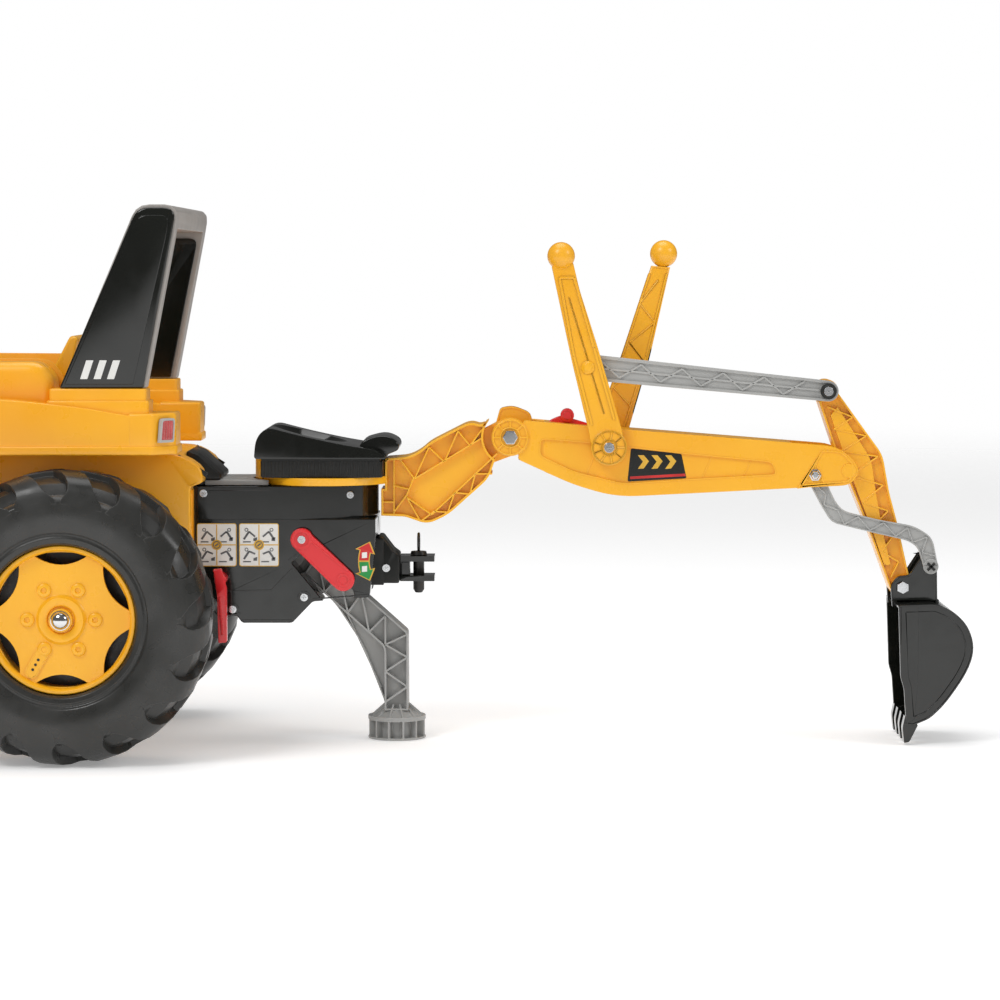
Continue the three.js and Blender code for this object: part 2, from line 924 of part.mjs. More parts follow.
const BOOM_SIDE = [
  [512, 377, 4],
  [634, 366, 6],
  [880, 346.5, 16],
  [907, 322, 18],
  [896, 301, 12],
  [720, 292, 8],
  [620, 287, 26],
  [570, 302, 14],
  [506, 331, 3],
];
const BOOM_PANEL = [
  [533, 355, 6],
  [590, 350.5, 8],
  [707, 337, 8],
  [802, 328, 6],
  [808, 314, 6],
  [700, 308, 8],
  [630, 303, 12],
  [572, 317, 10],
  [532, 336, 6],
];
function boomHalf() {
  return cut(
    join(
      slab(BOOM_SIDE, -BOOM.half, -0.2, 2.5),
      pin(BOOM_PIVOT, BOOM.eye, -BOOM.half - 2, -0.2, 24),
    ),
    pin(BOOM_PIVOT, BOOM.clear, -BOOM.eyeHalf - 0.6, 1, 28),
    slab(BOOM_PANEL, -BOOM.half - 1, -BOOM.half + 3.5),
    box(520, 594, -5.6, 1, 362, 400),
    box(826, 920, -BOOM.half + BOOM.cheek, 1, 280, 360),
    pin(BOOM_PIVOT, 6.5, -40, 1, 12),
    pin(LEVER_HUB, PIN_RADIUS + 0.5, -40, 1, 10),
    pin(DIPPER_PIVOT, PIN_RADIUS + 0.5, -40, 1, 10),
    pin(LINK_PIVOT, PIN_RADIUS + 0.5, -40, 1, 10),
  );
}
addPair("boom", boomHalf(), YELLOW);
add(
  "boom_pivot_bolt",
  join(
    pin(BOOM_PIVOT, 5.8, -38, 38, 12),
    pin(BOOM_PIVOT, 9, -40, -BOOM.half - 2.3, 6),
    pin(BOOM_PIVOT, 9, BOOM.half + 2.3, 40, 6),
  ),
  CHROME,
);

add(
  "boom_latch",
  join(
    slab(
      [
        [537, 366, 2],
        [538, 371, 2],
        [546, 377, 3],
        [556, 381, 3],
        [575, 376, 3],
        [588, 372, 2],
        [588, 366.5, 2],
        [560, 363.5],
      ],
      -5,
      5,
    ),
    pin({ x: 564, z: 381.5 }, 8, -9, 9, 16),
  ),
  RED,
);

// ---- levers, rod, dipper, link and bucket ------------------------------------------------

const along = (from, by) => ({ x: from.x + by.x, z: from.z + by.z });
const LEVER_PIN = along(LEVER_HUB, ROD_THROW);
const DIPPER_PIN = along(DIPPER_PIVOT, ROD_THROW);
const LEVER = { inner: -BOOM.half - 4, outer: -BOOM.half - 18, knob: 16 };

const ROD = { inner: -24.5, outer: LEVER.inner + GAP };
const KNOB_NEAR = { x: 556, z: 568 };
add(
  "lever_near",
  join(
    slab(
      [
        [545, 556],
        [569, 444, 10],
        [588, 366, 4],
        [593, 340],
        [631, 340],
        [627, 366, 6],
        [599, 461, 10],
        [577, 530, 8],
        [570, 560],
      ],
      LEVER.outer,
      LEVER.inner,
      2,
    ),
    pin(LEVER_HUB, 21, LEVER.outer - 1, -BOOM.half - GAP, 24),
    pin(LEVER_HUB, PIN_RADIUS, -BOOM.half - 5, -6, 10),
    pin(LEVER_PIN, PIN_RADIUS, LEVER.outer - 4, ROD.inner, 10),
    ball(KNOB_NEAR.x, (LEVER.outer + LEVER.inner) / 2, KNOB_NEAR.z, LEVER.knob),
  ),
  YELLOW,
);

const KNOB_FAR = { x: 678.5, z: 571 };
add(
  "lever_far",
  join(
    slab(
      [
        [664, 557],
        [648, 506, 10],
        [628, 449, 10],
        [593, 346],
        [631, 340],
        [640, 372, 10],
        [662, 448, 10],
        [686, 555],
      ],
      BOOM.half + GAP,
      -LEVER.outer - 2,
      2,
    ),
    pin(LEVER_HUB, 21, BOOM.half + GAP, -LEVER.outer, 24),
    pin(LEVER_HUB, PIN_RADIUS, 6, BOOM.half + 5, 10),
    ball(KNOB_FAR.x, (BOOM.half - LEVER.outer) / 2 - 1, KNOB_FAR.z, LEVER.knob),
  ),
  YELLOW,
);

add(
  "lever_rod",
  cut(
    link(LEVER_PIN, DIPPER_PIN, 15, 12, ROD.outer, ROD.inner, 16),
    pin(LEVER_PIN, PIN_RADIUS + 0.5, -50, -10, 10),
    pin(DIPPER_PIN, PIN_RADIUS + 0.5, -50, -10, 10),
  ),
  GREY,
);

function dipperArm() {
  const arm = join(
    slab(
      [
        [858, 398],
        [876, 345, 8],
        [895, 302, 8],
        [918, 246, 8],
        [944, 176],
        [966, 190],
        [950, 259, 8],
        [941, 292, 8],
        [933, 336, 10],
        [906, 373, 12],
        [880, 409],
      ],
      -DIPPER_HALF,
      DIPPER_HALF,
      2,
    ),
    pin(DIPPER_PIN, 13, -DIPPER_HALF, DIPPER_HALF, 16),
    pin(DIPPER_PIN, 8, ROD.inner + GAP, -DIPPER_HALF + 1, 12),
    pin(DIPPER_PIN, PIN_RADIUS, ROD.outer - 4, -DIPPER_HALF + 1, 10),
    pin(DIPPER_PIVOT, PIN_RADIUS, -BOOM.half - 1, BOOM.half + 1, 10),
    pin(BUCKET_HINGE, 13, -DIPPER_HALF, DIPPER_HALF, 16),
  );
  return cut(arm, pin(BUCKET_HINGE, PIN_RADIUS + 0.5, -40, 40, 10));
}
add("dipper_arm", dipperArm(), YELLOW);

const LINK_SIDE = [
  [845, 306],
  [861, 276, 8],
  [873, 257, 8],
  [918, 246, 10],
  [962, 236, 8],
  [974, 228, 6],
  [980.5, 206],
  [998, 206],
  [991, 240, 10],
  [970, 253, 10],
  [930, 260, 8],
  [888, 270, 8],
  [878, 280, 8],
  [863, 312],
];
const BUCKET_LINK = { outer: -BOOM.half + BOOM.cheek + GAP, inner: -25.2 };
add(
  "bucket_link",
  join(
    slab(LINK_SIDE, BUCKET_LINK.outer, BUCKET_LINK.inner),
    pin(LINK_PIVOT, 10, BUCKET_LINK.outer, BUCKET_LINK.inner, 16),
    pin(LINK_PIVOT, PIN_RADIUS, -BOOM.half - 2, BUCKET_LINK.inner + 3, 10),
    pin(LINK_END, 9, BUCKET_LINK.outer, BUCKET_LINK.inner, 16),
  ),
  GREY,
);

function diggerBucket() {
  const { half, wall, teeth } = BUCKET;
  const outer = [
    [948, 163.5, 3],
    [992, 165, 6],
    [1014, 155, 8],
    [1030, 140, 8],
    [1037, 112, 14],
    [1028, 86, 14],
    [1000, 46, 10],
    [985, 31, 6],
    [964, 22],
    [958, 24],
    [955, 66, 3],
    [951, 80, 3],
  ];
  const inner = [
    [900, 160],
    [990, 161.5, 6],
    [1012, 151, 8],
    [1026, 138, 8],
    [1033, 112, 12],
    [1025, 88, 14],
    [997, 48, 10],
    [983, 35, 6],
    [962, 25.5],
    [900, 25.5],
  ];
  const ear = [
    [945, 160],
    [943, 184, 6],
    [952, 194, 4],
    [965, 195, 4],
    [974, 211, 5],
    [997, 211, 6],
    [998, 160],
  ];
  const tooth = [
    [958, 27],
    [966, 26],
    [971, 23.5],
    [960, 3],
    [955, 2],
  ];
  const pitch = (2 * half - 20) / (teeth - 1);
  const row = Array.from({ length: teeth }, (_, i) => {
    const y = -half + 10 + i * pitch;
    return slab(tooth, y - 9, y + 9);
  });
  const shell = cut(slab(outer, -half, half), slab(inner, -half + wall, half - wall));
  return join(
    shell,
    slab(ear, BUCKET_LINK.inner + GAP, -DIPPER_HALF - 0.6),
    slab(ear, DIPPER_HALF + 0.6, -BUCKET_LINK.inner - GAP),
    pin(BUCKET_HINGE, PIN_RADIUS, -28, 28, 10),
    ...row,
  );
}
add("digger_bucket", diggerBucket(), BLACK);

export default backhoe_loader;
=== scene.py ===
"""Looks of a ride-on toy tractor with a front loader and a rear digger."""
import math
import random

import bmesh
import bpy
from mathutils import Matrix, Vector
from mathutils.geometry import delaunay_2d_cdt


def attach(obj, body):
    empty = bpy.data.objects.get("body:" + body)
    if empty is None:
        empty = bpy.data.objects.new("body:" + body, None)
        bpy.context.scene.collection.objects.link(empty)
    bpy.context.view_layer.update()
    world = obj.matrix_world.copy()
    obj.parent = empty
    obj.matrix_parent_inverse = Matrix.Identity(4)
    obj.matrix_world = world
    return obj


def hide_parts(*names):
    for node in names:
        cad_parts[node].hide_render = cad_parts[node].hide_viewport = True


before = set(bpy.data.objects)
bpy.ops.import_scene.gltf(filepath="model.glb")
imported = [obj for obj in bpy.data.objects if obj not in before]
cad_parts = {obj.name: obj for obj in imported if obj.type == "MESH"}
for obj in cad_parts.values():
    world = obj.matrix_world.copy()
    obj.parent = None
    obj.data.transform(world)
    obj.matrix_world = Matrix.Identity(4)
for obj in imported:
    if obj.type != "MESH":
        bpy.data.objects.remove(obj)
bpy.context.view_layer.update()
random.seed(7)

# ---- sizes, in millimetres from the rear axle ---------------------------------------------

MM = 0.001
REAR_AXLE_X = -40
CORNER_STEPS = 5

REAR_WHEEL = {"x": 0, "z": 165, "radius": 165, "width": 120, "bead": 84, "track": 410}
FRONT_WHEEL = {"x": -560, "z": 115, "radius": 115, "width": 80, "bead": 60, "track": 350}
DECK_Z = 342
HOOP_OUT = 184
HOOP_BASE = 419.5
HOOP_TOP = 625
STEERING = {"x": -215, "z": 505, "radius": 88, "lean": 0.52}
HOUSING_HALF = 70
HOUSING_STEP = 263
SLEW_X = 279
BOOM_HALF = 33
BOOM_PIVOT = (497, 357)
LEVER_HUB = (612, 346)
LEVER_PIN = (587, 439)
DIPPER_PIVOT = (892.5, 318)
DIPPER_PIN = (867.5, 411)
LINK_PIVOT = (853, 313)
LINK_END = (989.5, 205.5)
BUCKET_HINGE = (957, 180.5)
DIPPER_HALF = 20
LEVER_OUT = -51
LEVER_IN = -37

# ---- camera, light and floor --------------------------------------------------------------

CAMERA_PLACE = (0.466, -3.9, 0.552)
CAMERA_LENS = 119.4
CAMERA_DOWN = 3.97
CAMERA_LEFT = 0.31
ROOM_STRENGTH = 0.55
MIRRORED_STRENGTH = 0.13


def make_camera():
    data = bpy.data.cameras.new("camera")
    data.sensor_width = 36
    data.lens = CAMERA_LENS
    camera = bpy.data.objects.new("camera", data)
    camera.location = CAMERA_PLACE
    camera.rotation_euler = (math.radians(90 - CAMERA_DOWN), 0, math.radians(CAMERA_LEFT))
    bpy.context.scene.collection.objects.link(camera)
    bpy.context.scene.camera = camera


def make_light(name, place, target, size, power):
    data = bpy.data.lights.new(name, "AREA")
    data.shape = "DISK"
    data.size = size
    data.energy = power
    lamp = bpy.data.objects.new(name, data)
    lamp.location = place
    aim = Vector(target) - Vector(place)
    lamp.rotation_euler = aim.to_track_quat("-Z", "Y").to_euler()
    bpy.context.scene.collection.objects.link(lamp)


def make_sky():
    """White where the camera sees it, a dimmer room for light and a dark one in reflections."""
    world = bpy.data.worlds.new("studio")
    world.use_nodes = True
    tree = world.node_tree
    backdrop = tree.nodes["Background"]
    backdrop.inputs["Color"].default_value = (1, 1, 1, 1)
    path = tree.nodes.new("ShaderNodeLightPath")
    mirrored = tree.nodes.new("ShaderNodeMapRange")
    mirrored.inputs["To Min"].default_value = ROOM_STRENGTH
    mirrored.inputs["To Max"].default_value = MIRRORED_STRENGTH
    tree.links.new(path.outputs["Is Glossy Ray"], mirrored.inputs["Value"])
    strength = tree.nodes.new("ShaderNodeMapRange")
    strength.inputs["To Max"].default_value = 1.0
    tree.links.new(path.outputs["Is Camera Ray"], strength.inputs["Value"])
    tree.links.new(mirrored.outputs["Result"], strength.inputs["To Min"])
    tree.links.new(strength.outputs["Result"], backdrop.inputs["Strength"])
    bpy.context.scene.world = world
    bpy.context.scene.view_settings.view_transform = "Standard"


def make_floor():
    bm = bmesh.new()
    bmesh.ops.create_circle(bm, cap_ends=True, segments=64, radius=9)
    mesh = bpy.data.meshes.new("floor")
    bm.to_mesh(mesh)
    bm.free()
    floor = bpy.data.objects.new("floor", mesh)
    floor.location = (0, 0, -0.0006)
    bpy.context.scene.collection.objects.link(floor)
    mesh.materials.append(floor_paper())


# ---- material building blocks -------------------------------------------------------------


def new_material(name):
    material = bpy.data.materials.new(name)
    material.use_nodes = True
    shader = material.node_tree.nodes["Principled BSDF"]
    return material, material.node_tree, shader


def add(tree, kind, **settings):
    made = tree.nodes.new(kind)
    for key, value in settings.items():
        setattr(made, key, value)
    return made


def noise(tree, coords, scale, detail=4):
    made = add(tree, "ShaderNodeTexNoise")
    made.inputs["Detail"].default_value = detail
    if isinstance(scale, (int, float)):
        made.inputs["Scale"].default_value = scale
    else:
        tree.links.new(scale, made.inputs["Scale"])
    tree.links.new(coords, made.inputs["Vector"])
    return made.outputs["Fac"]


def ranged(tree, value, low, high, out_low, out_high):
    made = add(tree, "ShaderNodeMapRange", clamp=True, interpolation_type="SMOOTHSTEP")
    tree.links.new(value, made.inputs["Value"])
    for key, number in zip(
        ("From Min", "From Max", "To Min", "To Max"), (low, high, out_low, out_high)
    ):
        if isinstance(number, (int, float)):
            made.inputs[key].default_value = number
        else:
            tree.links.new(number, made.inputs[key])
    return made.outputs["Result"]


def times(tree, a, b):
    made = add(tree, "ShaderNodeMath", operation="MULTIPLY")
    for socket, value in zip(made.inputs, (a, b)):
        if isinstance(value, (int, float)):
            socket.default_value = value
        else:
            tree.links.new(value, socket)
    return made.outputs[0]


def mixed(tree, mask, first, second):
    made = add(tree, "ShaderNodeMix", data_type="RGBA")
    tree.links.new(mask, made.inputs["Factor"])
    for key, value in ((6, first), (7, second)):
        if isinstance(value, tuple):
            made.inputs[key].default_value = (*value, 1)
        else:
            tree.links.new(value, made.inputs[key])
    return made.outputs[2]


def moulded_group():
    """Patchy colour, rubbed edges, uneven gloss and a fine grain for moulded surfaces."""
    group = bpy.data.node_groups.new("moulded_surface", "ShaderNodeTree")
    face = group.interface
    for name, kind in (
        ("Colour", "NodeSocketColor"),
        ("Shade", "NodeSocketColor"),
        ("Rubbed", "NodeSocketColor"),
        ("Patch Scale", "NodeSocketFloat"),
        ("Grain Scale", "NodeSocketFloat"),
        ("Gloss Low", "NodeSocketFloat"),
        ("Gloss High", "NodeSocketFloat"),
        ("Edge Width", "NodeSocketFloat"),
        ("Edge Strength", "NodeSocketFloat"),
    ):
        face.new_socket(name, in_out="INPUT", socket_type=kind)
    face.new_socket("Colour", in_out="OUTPUT", socket_type="NodeSocketColor")
    face.new_socket("Roughness", in_out="OUTPUT", socket_type="NodeSocketFloat")
    face.new_socket("Height", in_out="OUTPUT", socket_type="NodeSocketFloat")
    given = add(group, "NodeGroupInput").outputs
    result = add(group, "NodeGroupOutput").inputs
    coords = add(group, "ShaderNodeTexCoord").outputs["Object"]
    patches = ranged(group, noise(group, coords, given["Patch Scale"]), 0.35, 0.7, 0.0, 1.0)
    smears = noise(group, coords, 38, 3)
    grain = noise(group, coords, given["Grain Scale"], 2)
    soft = add(group, "ShaderNodeBevel", samples=4)
    group.links.new(given["Edge Width"], soft.inputs["Radius"])
    normal = add(group, "ShaderNodeNewGeometry").outputs["Normal"]
    compare = add(group, "ShaderNodeVectorMath", operation="DOT_PRODUCT")
    group.links.new(soft.outputs[0], compare.inputs[0])
    group.links.new(normal, compare.inputs[1])
    edges = ranged(group, compare.outputs["Value"], 0.99, 0.86, 0.0, given["Edge Strength"])
    rubbed = times(group, edges, ranged(group, smears, 0.3, 0.62, 0.25, 1.0))
    base = mixed(group, patches, given["Colour"], given["Shade"])
    group.links.new(mixed(group, rubbed, base, given["Rubbed"]), result["Colour"])
    gloss = ranged(group, smears, 0.3, 0.7, given["Gloss Low"], given["Gloss High"])
    group.links.new(gloss, result["Roughness"])
    group.links.new(grain, result["Height"])
    return group


MOULDED = moulded_group()


def moulded(name, colour, shade, rubbed, gloss, patch=5, grain=900, edge=0.0012, wear=0.35,
            bump=0.06, coat=0.0, coat_roughness=0.1, metallic=0.0):
    material, tree, shader = new_material(name)
    surface = add(tree, "ShaderNodeGroup", node_tree=MOULDED)
    for key, value in (("Colour", colour), ("Shade", shade), ("Rubbed", rubbed)):
        surface.inputs[key].default_value = (*value, 1)
    surface.inputs["Patch Scale"].default_value = patch
    surface.inputs["Grain Scale"].default_value = grain
    surface.inputs["Gloss Low"].default_value = gloss[0]
    surface.inputs["Gloss High"].default_value = gloss[1]
    surface.inputs["Edge Width"].default_value = edge
    surface.inputs["Edge Strength"].default_value = wear
    relief = add(tree, "ShaderNodeBump")
    relief.inputs["Strength"].default_value = bump
    relief.inputs["Distance"].default_value = 0.0006
    tree.links.new(surface.outputs["Height"], relief.inputs["Height"])
    tree.links.new(surface.outputs["Colour"], shader.inputs["Base Color"])
    tree.links.new(surface.outputs["Roughness"], shader.inputs["Roughness"])
    tree.links.new(relief.outputs["Normal"], shader.inputs["Normal"])
    shader.inputs["Metallic"].default_value = metallic
    shader.inputs["Coat Weight"].default_value = coat
    shader.inputs["Coat Roughness"].default_value = coat_roughness
    return material


def floor_paper():
    material, tree, shader = new_material("floor_paper")
    coords = add(tree, "ShaderNodeTexCoord").outputs["Object"]
    distance = add(tree, "ShaderNodeVectorMath", operation="LENGTH")
    tree.links.new(coords, distance.inputs[0])
    faded = ranged(tree, distance.outputs["Value"], 2.5, 8.5, 1.0, 0.0)
    fibres = noise(tree, coords, 60, 3)
    tree.links.new(mixed(tree, fibres, (0.93, 0.93, 0.93), (0.96, 0.96, 0.96)), shader.inputs["Base Color"])
    shader.inputs["Roughness"].default_value = 0.9
    shader.inputs["Specular IOR Level"].default_value = 0.1
    shader.inputs["Emission Color"].default_value = (1, 1, 1, 1)
    shader.inputs["Emission Strength"].default_value = 0.24
    tree.links.new(faded, shader.inputs["Alpha"])
    return material


# ---- finishes -----------------------------------------------------------------------------

YELLOW = moulded("yellow_plastic", (0.93, 0.46, 0.014), (0.88, 0.41, 0.011),
                 (1.0, 0.66, 0.12), (0.24, 0.40), coat=0.25, coat_roughness=0.18)
BODY_YELLOW = moulded("yellow_body_plastic", (0.95, 0.45, 0.015), (0.88, 0.38, 0.012),
                      (1.0, 0.62, 0.10), (0.26, 0.42), coat=0.2, coat_roughness=0.2)
GLOSS_BLACK = moulded("black_gloss_plastic", (0.006, 0.0065, 0.005), (0.009, 0.010, 0.008),
                      (0.028, 0.028, 0.027), (0.08, 0.18), wear=0.5, bump=0.03, coat=0.3,
                      coat_roughness=0.06)
SATIN_BLACK = moulded("black_satin_plastic", (0.009, 0.0095, 0.008), (0.014, 0.015, 0.013),
                      (0.04, 0.04, 0.038), (0.28, 0.46), wear=0.5, bump=0.12)
RUBBER = moulded("tyre_plastic", (0.030, 0.030, 0.028), (0.020, 0.020, 0.018),
                 (0.07, 0.068, 0.064), (0.24, 0.42), patch=9, grain=600, wear=0.7, bump=0.14)
GREY = moulded("grey_plastic", (0.42, 0.42, 0.405), (0.34, 0.34, 0.33), (0.66, 0.66, 0.64),
               (0.36, 0.52), wear=0.5, bump=0.1)
HOOP_GREY_PLASTIC = moulded("hoop_grey_plastic", (0.36, 0.335, 0.31), (0.30, 0.28, 0.26),
                            (0.55, 0.53, 0.50), (0.36, 0.5), wear=0.45, bump=0.1)
RED = moulded("red_plastic", (0.74, 0.022, 0.028), (0.62, 0.016, 0.020), (0.9, 0.14, 0.12),
              (0.22, 0.38), wear=0.45, coat=0.3, coat_roughness=0.12)
STEEL = moulded("dark_steel", (0.055, 0.055, 0.055), (0.035, 0.033, 0.030),
                (0.30, 0.30, 0.30), (0.32, 0.55), patch=14, grain=1300, wear=0.8, metallic=0.7)
CHROME = moulded("bright_steel", (0.74, 0.75, 0.76), (0.60, 0.61, 0.62), (0.92, 0.92, 0.92),
                 (0.10, 0.24), patch=30, grain=1500, bump=0.04, metallic=1.0)
LENS_RED = moulded("lens_red", (0.60, 0.085, 0.085), (0.46, 0.045, 0.05), (0.9, 0.45, 0.42),
                   (0.06, 0.16), patch=60, wear=0.7, coat=0.8, coat_roughness=0.04)
LABEL_WHITE = moulded("label_white", (0.80, 0.80, 0.77), (0.74, 0.74, 0.71),
                      (0.6, 0.6, 0.58), (0.3, 0.45), patch=25, wear=0.25)
LABEL_PRINT = moulded("label_print", (0.09, 0.095, 0.10), (0.13, 0.13, 0.135),
                      (0.3, 0.3, 0.3), (0.35, 0.5), patch=80, wear=0.2)
LABEL_GOLD = moulded("label_gold", (0.72, 0.42, 0.04), (0.62, 0.35, 0.03), (0.8, 0.55, 0.2),
                     (0.3, 0.45), patch=60, wear=0.2)
LABEL_RED = moulded("label_red", (0.62, 0.02, 0.02), (0.50, 0.015, 0.015),
                    (0.8, 0.3, 0.3), (0.3, 0.45), patch=60, wear=0.2)
LABEL_GREEN = moulded("label_green", (0.015, 0.30, 0.06), (0.01, 0.23, 0.045),
                      (0.3, 0.6, 0.35), (0.3, 0.45), patch=60, wear=0.2)

# ---- shaping ------------------------------------------------------------------------------


def rounded(points, steps=CORNER_STEPS):
    """The path through [a, b, corner radius] points, with its corners rounded."""
    path = []
    for i, (a, b, *rest) in enumerate(points):
        here = Vector((a, b))
        radius = rest[0] if rest else 0
        if radius == 0:
            path.append(here)
            continue
        ends = []
        for other in (points[i - 1], points[(i + 1) % len(points)]):
            way = Vector(other[:2]) - here
            ends.append(here + way.normalized() * min(radius, way.length / 2.05))
        for k in range(steps + 1):
            t = k / steps
            path.append(ends[0].lerp(here, t).lerp(here.lerp(ends[1], t), t))
    return path


def circle(x, z, radius, sides=32, start=0.0):
    turns = (start + 2 * math.pi * i / sides for i in range(sides))
    return [Vector((x + radius * math.cos(t), z + radius * math.sin(t))) for t in turns]


def lift(bm, faces, by):
    made = bmesh.ops.extrude_face_region(bm, geom=faces)["geom"]
    corners = [g for g in made if isinstance(g, bmesh.types.BMVert)]
    bmesh.ops.translate(bm, vec=by, verts=corners)
    return [g for g in made if isinstance(g, bmesh.types.BMFace)]


def slab(bm, points, y0, y1):
    """An outline in X and Z between two distances across the toy."""
    face = bm.faces.new([bm.verts.new((p.x, y0, p.y)) for p in rounded(points)])
    return lift(bm, [face], (0, y1 - y0, 0))


def layer(bm, points, z0, z1):
    """An outline in X and Y between two heights."""
    face = bm.faces.new([bm.verts.new((p.x, p.y, z0)) for p in rounded(points)])
    return lift(bm, [face], (0, 0, z1 - z0))


def inside(point, path):
    """Whether a point lies within a closed path."""
    within = False
    for i in range(len(path)):
        a, b = path[i - 1], path[i]
        if (a.y > point.y) != (b.y > point.y):
            if point.x < (b.x - a.x) * (point.y - a.y) / (b.y - a.y) + a.x:
                within = not within
    return within


def plate(bm, outer, holes, y0, y1):
    """A flat plate in X and Z with holes right through it."""
    spots = []
    edges = []
    for path in (outer, *holes):
        first = len(spots)
        spots += [Vector((p.x, p.y)) for p in path]
        edges += [(first + i, first + (i + 1) % len(path)) for i in range(len(path))]
    spots, _, triangles = delaunay_2d_cdt(spots, edges, [], 1, 1e-5)[:3]
    corners = [bm.verts.new((p.x, y0, p.y)) for p in spots]
    faces = []
    for triangle in triangles:
        middle = sum((spots[i] for i in triangle), Vector((0, 0))) / 3
        if inside(middle, outer) and not any(inside(middle, hole) for hole in holes):
            faces.append(bm.faces.new([corners[i] for i in triangle]))
    for corner in corners:
        if not corner.link_faces:
            bm.verts.remove(corner)
    return lift(bm, faces, (0, y1 - y0, 0))


def drum(bm, centre, radius, y0, y1, sides=32, far_radius=None, turn=0.0):
    """A cylinder or cone along Y."""
    place = Matrix.Translation((centre[0], (y0 + y1) / 2, centre[1]))
    bmesh.ops.create_cone(
        bm,
        cap_ends=True,
        segments=sides,
        radius1=radius,
        radius2=radius if far_radius is None else far_radius,
        depth=y1 - y0,
        matrix=place @ Matrix.Rotation(-math.pi / 2, 4, "X") @ Matrix.Rotation(turn, 4, "Z"),
    )


def post(bm, x, y, radius, z0, z1, sides=32, top_radius=None):
    """A cylinder or cone along Z."""
    bmesh.ops.create_cone(
        bm,
        cap_ends=True,
        segments=sides,
        radius1=radius,
        radius2=radius if top_radius is None else top_radius,
        depth=z1 - z0,
        matrix=Matrix.Translation((x, y, (z0 + z1) / 2)),
    )


def block(bm, x0, x1, y0, y1, z0, z1):
    middle = Matrix.Translation(((x0 + x1) / 2, (y0 + y1) / 2, (z0 + z1) / 2))
    bmesh.ops.create_cube(bm, size=1, matrix=middle @ Matrix.Diagonal((x1 - x0, y1 - y0, z1 - z0, 1)))


def bar(bm, a, b, half_width, y0, y1):
    """A straight rib from a to b, both [x, z]."""
    way = (Vector(b) - Vector(a)).normalized() * half_width
    side = Vector((-way.y, way.x))
    ends = (Vector(a) + side, Vector(b) + side, Vector(b) - side, Vector(a) - side)
    slab(bm, [(p.x, p.y) for p in ends], y0, y1)


def turned(bm, centre, profile, steps):
    """A profile of [radius, y] points spun about an axle along Y."""
    points = [bm.verts.new((centre[0] + r, y, centre[1])) for r, y in profile]
    edges = [bm.edges.new(pair) for pair in zip(points, points[1:])]
    bmesh.ops.spin(
        bm,
        geom=points + edges,
        cent=(centre[0], 0, centre[1]),
        axis=(0, 1, 0),
        angle=2 * math.pi,
        steps=steps,
        use_merge=True,
    )


def shrunk(path, by):
    """The closed path moved inwards by a distance."""
    area = sum(path[i - 1].cross(path[i]) for i in range(len(path)))
    turn = 1 if area > 0 else -1
    moved = []
    for i, here in enumerate(path):
        before = (here - path[i - 1]).normalized()
        after = (path[(i + 1) % len(path)] - here).normalized()
        first = Vector((-before.y, before.x)) * turn
        second = Vector((-after.y, after.x)) * turn
        moved.append(here + (first + second) / max(0.35, 1 + first.dot(second)) * by)
    return moved


def pill(a, b, radius_a, radius_b=None, steps=14):
    """A closed path round two points, with round ends."""
    start, end = Vector(a), Vector(b)
    radius_b = radius_a if radius_b is None else radius_b
    way = end - start
    turn = math.atan2(way.y, way.x)
    lean = math.asin((radius_a - radius_b) / way.length)
    path = []
    for centre, radius, first, last in (
        (start, radius_a, turn + math.pi / 2 - lean, turn + 1.5 * math.pi + lean),
        (end, radius_b, turn - math.pi / 2 + lean, turn + math.pi / 2 - lean),
    ):
        for k in range(steps + 1):
            angle = first + (last - first) * k / steps
            path.append(centre + radius * Vector((math.cos(angle), math.sin(angle))))
    return path


def casting(bm, path, y0, y1, wall, web, ribs=(), rib_half=0.9):
    """An open-backed moulding: a border wall, a thin web and upright ribs between."""
    plate(bm, path, [shrunk(path, wall)], y0, y1)
    plate(bm, shrunk(path, wall * 0.5), [], -web, web)
    inset = 0.6
    for a, b in ribs:
        bar(bm, a, b, rib_half, y0 + inset, y1 - inset)


def zigzag(points):
    return list(zip(points, points[1:]))


def band(bm, path, inner_path, y0, y1):
    """A raised border between two outlines with the same corners."""
    outer = rounded(path)
    inner = rounded(inner_path)
    plate(bm, outer, [inner], y0, y1)


def copy_of(*names):
    """A clean copy of CAD nodes, in millimetres from the rear axle."""
    bm = bmesh.new()
    for name in names:
        bm.from_mesh(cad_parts[name].data)
    bmesh.ops.scale(bm, vec=(1 / MM,) * 3, verts=bm.verts)
    bmesh.ops.translate(bm, vec=(-REAR_AXLE_X, 0, 0), verts=bm.verts)
    bmesh.ops.remove_doubles(bm, verts=bm.verts, dist=0.02)
    bmesh.ops.dissolve_degenerate(bm, edges=bm.edges, dist=0.01)
    return bm


def soften(bm, width, segments=3, limit=38):
    """Rounds the sharp edges of a shape."""
    bmesh.ops.recalc_face_normals(bm, faces=bm.faces)
    sharp = [e for e in bm.edges if e.is_manifold and e.calc_face_angle(0) > math.radians(limit)]
    bmesh.ops.bevel(
        bm,
        geom=sharp,
        offset=width,
        segments=segments,
        profile=0.5,
        affect="EDGES",
        material=-1,
        clamp_overlap=True,
    )
    return bm


def absorb(bm, other):
    """Adds another shape's mesh to this one."""
    mesh = bpy.data.meshes.new("shape")
    other.to_mesh(mesh)
    other.free()
    bm.from_mesh(mesh)
    bpy.data.meshes.remove(mesh)


def mirror_across(bm):
    bmesh.ops.scale(bm, vec=(1, -1, 1), verts=bm.verts)


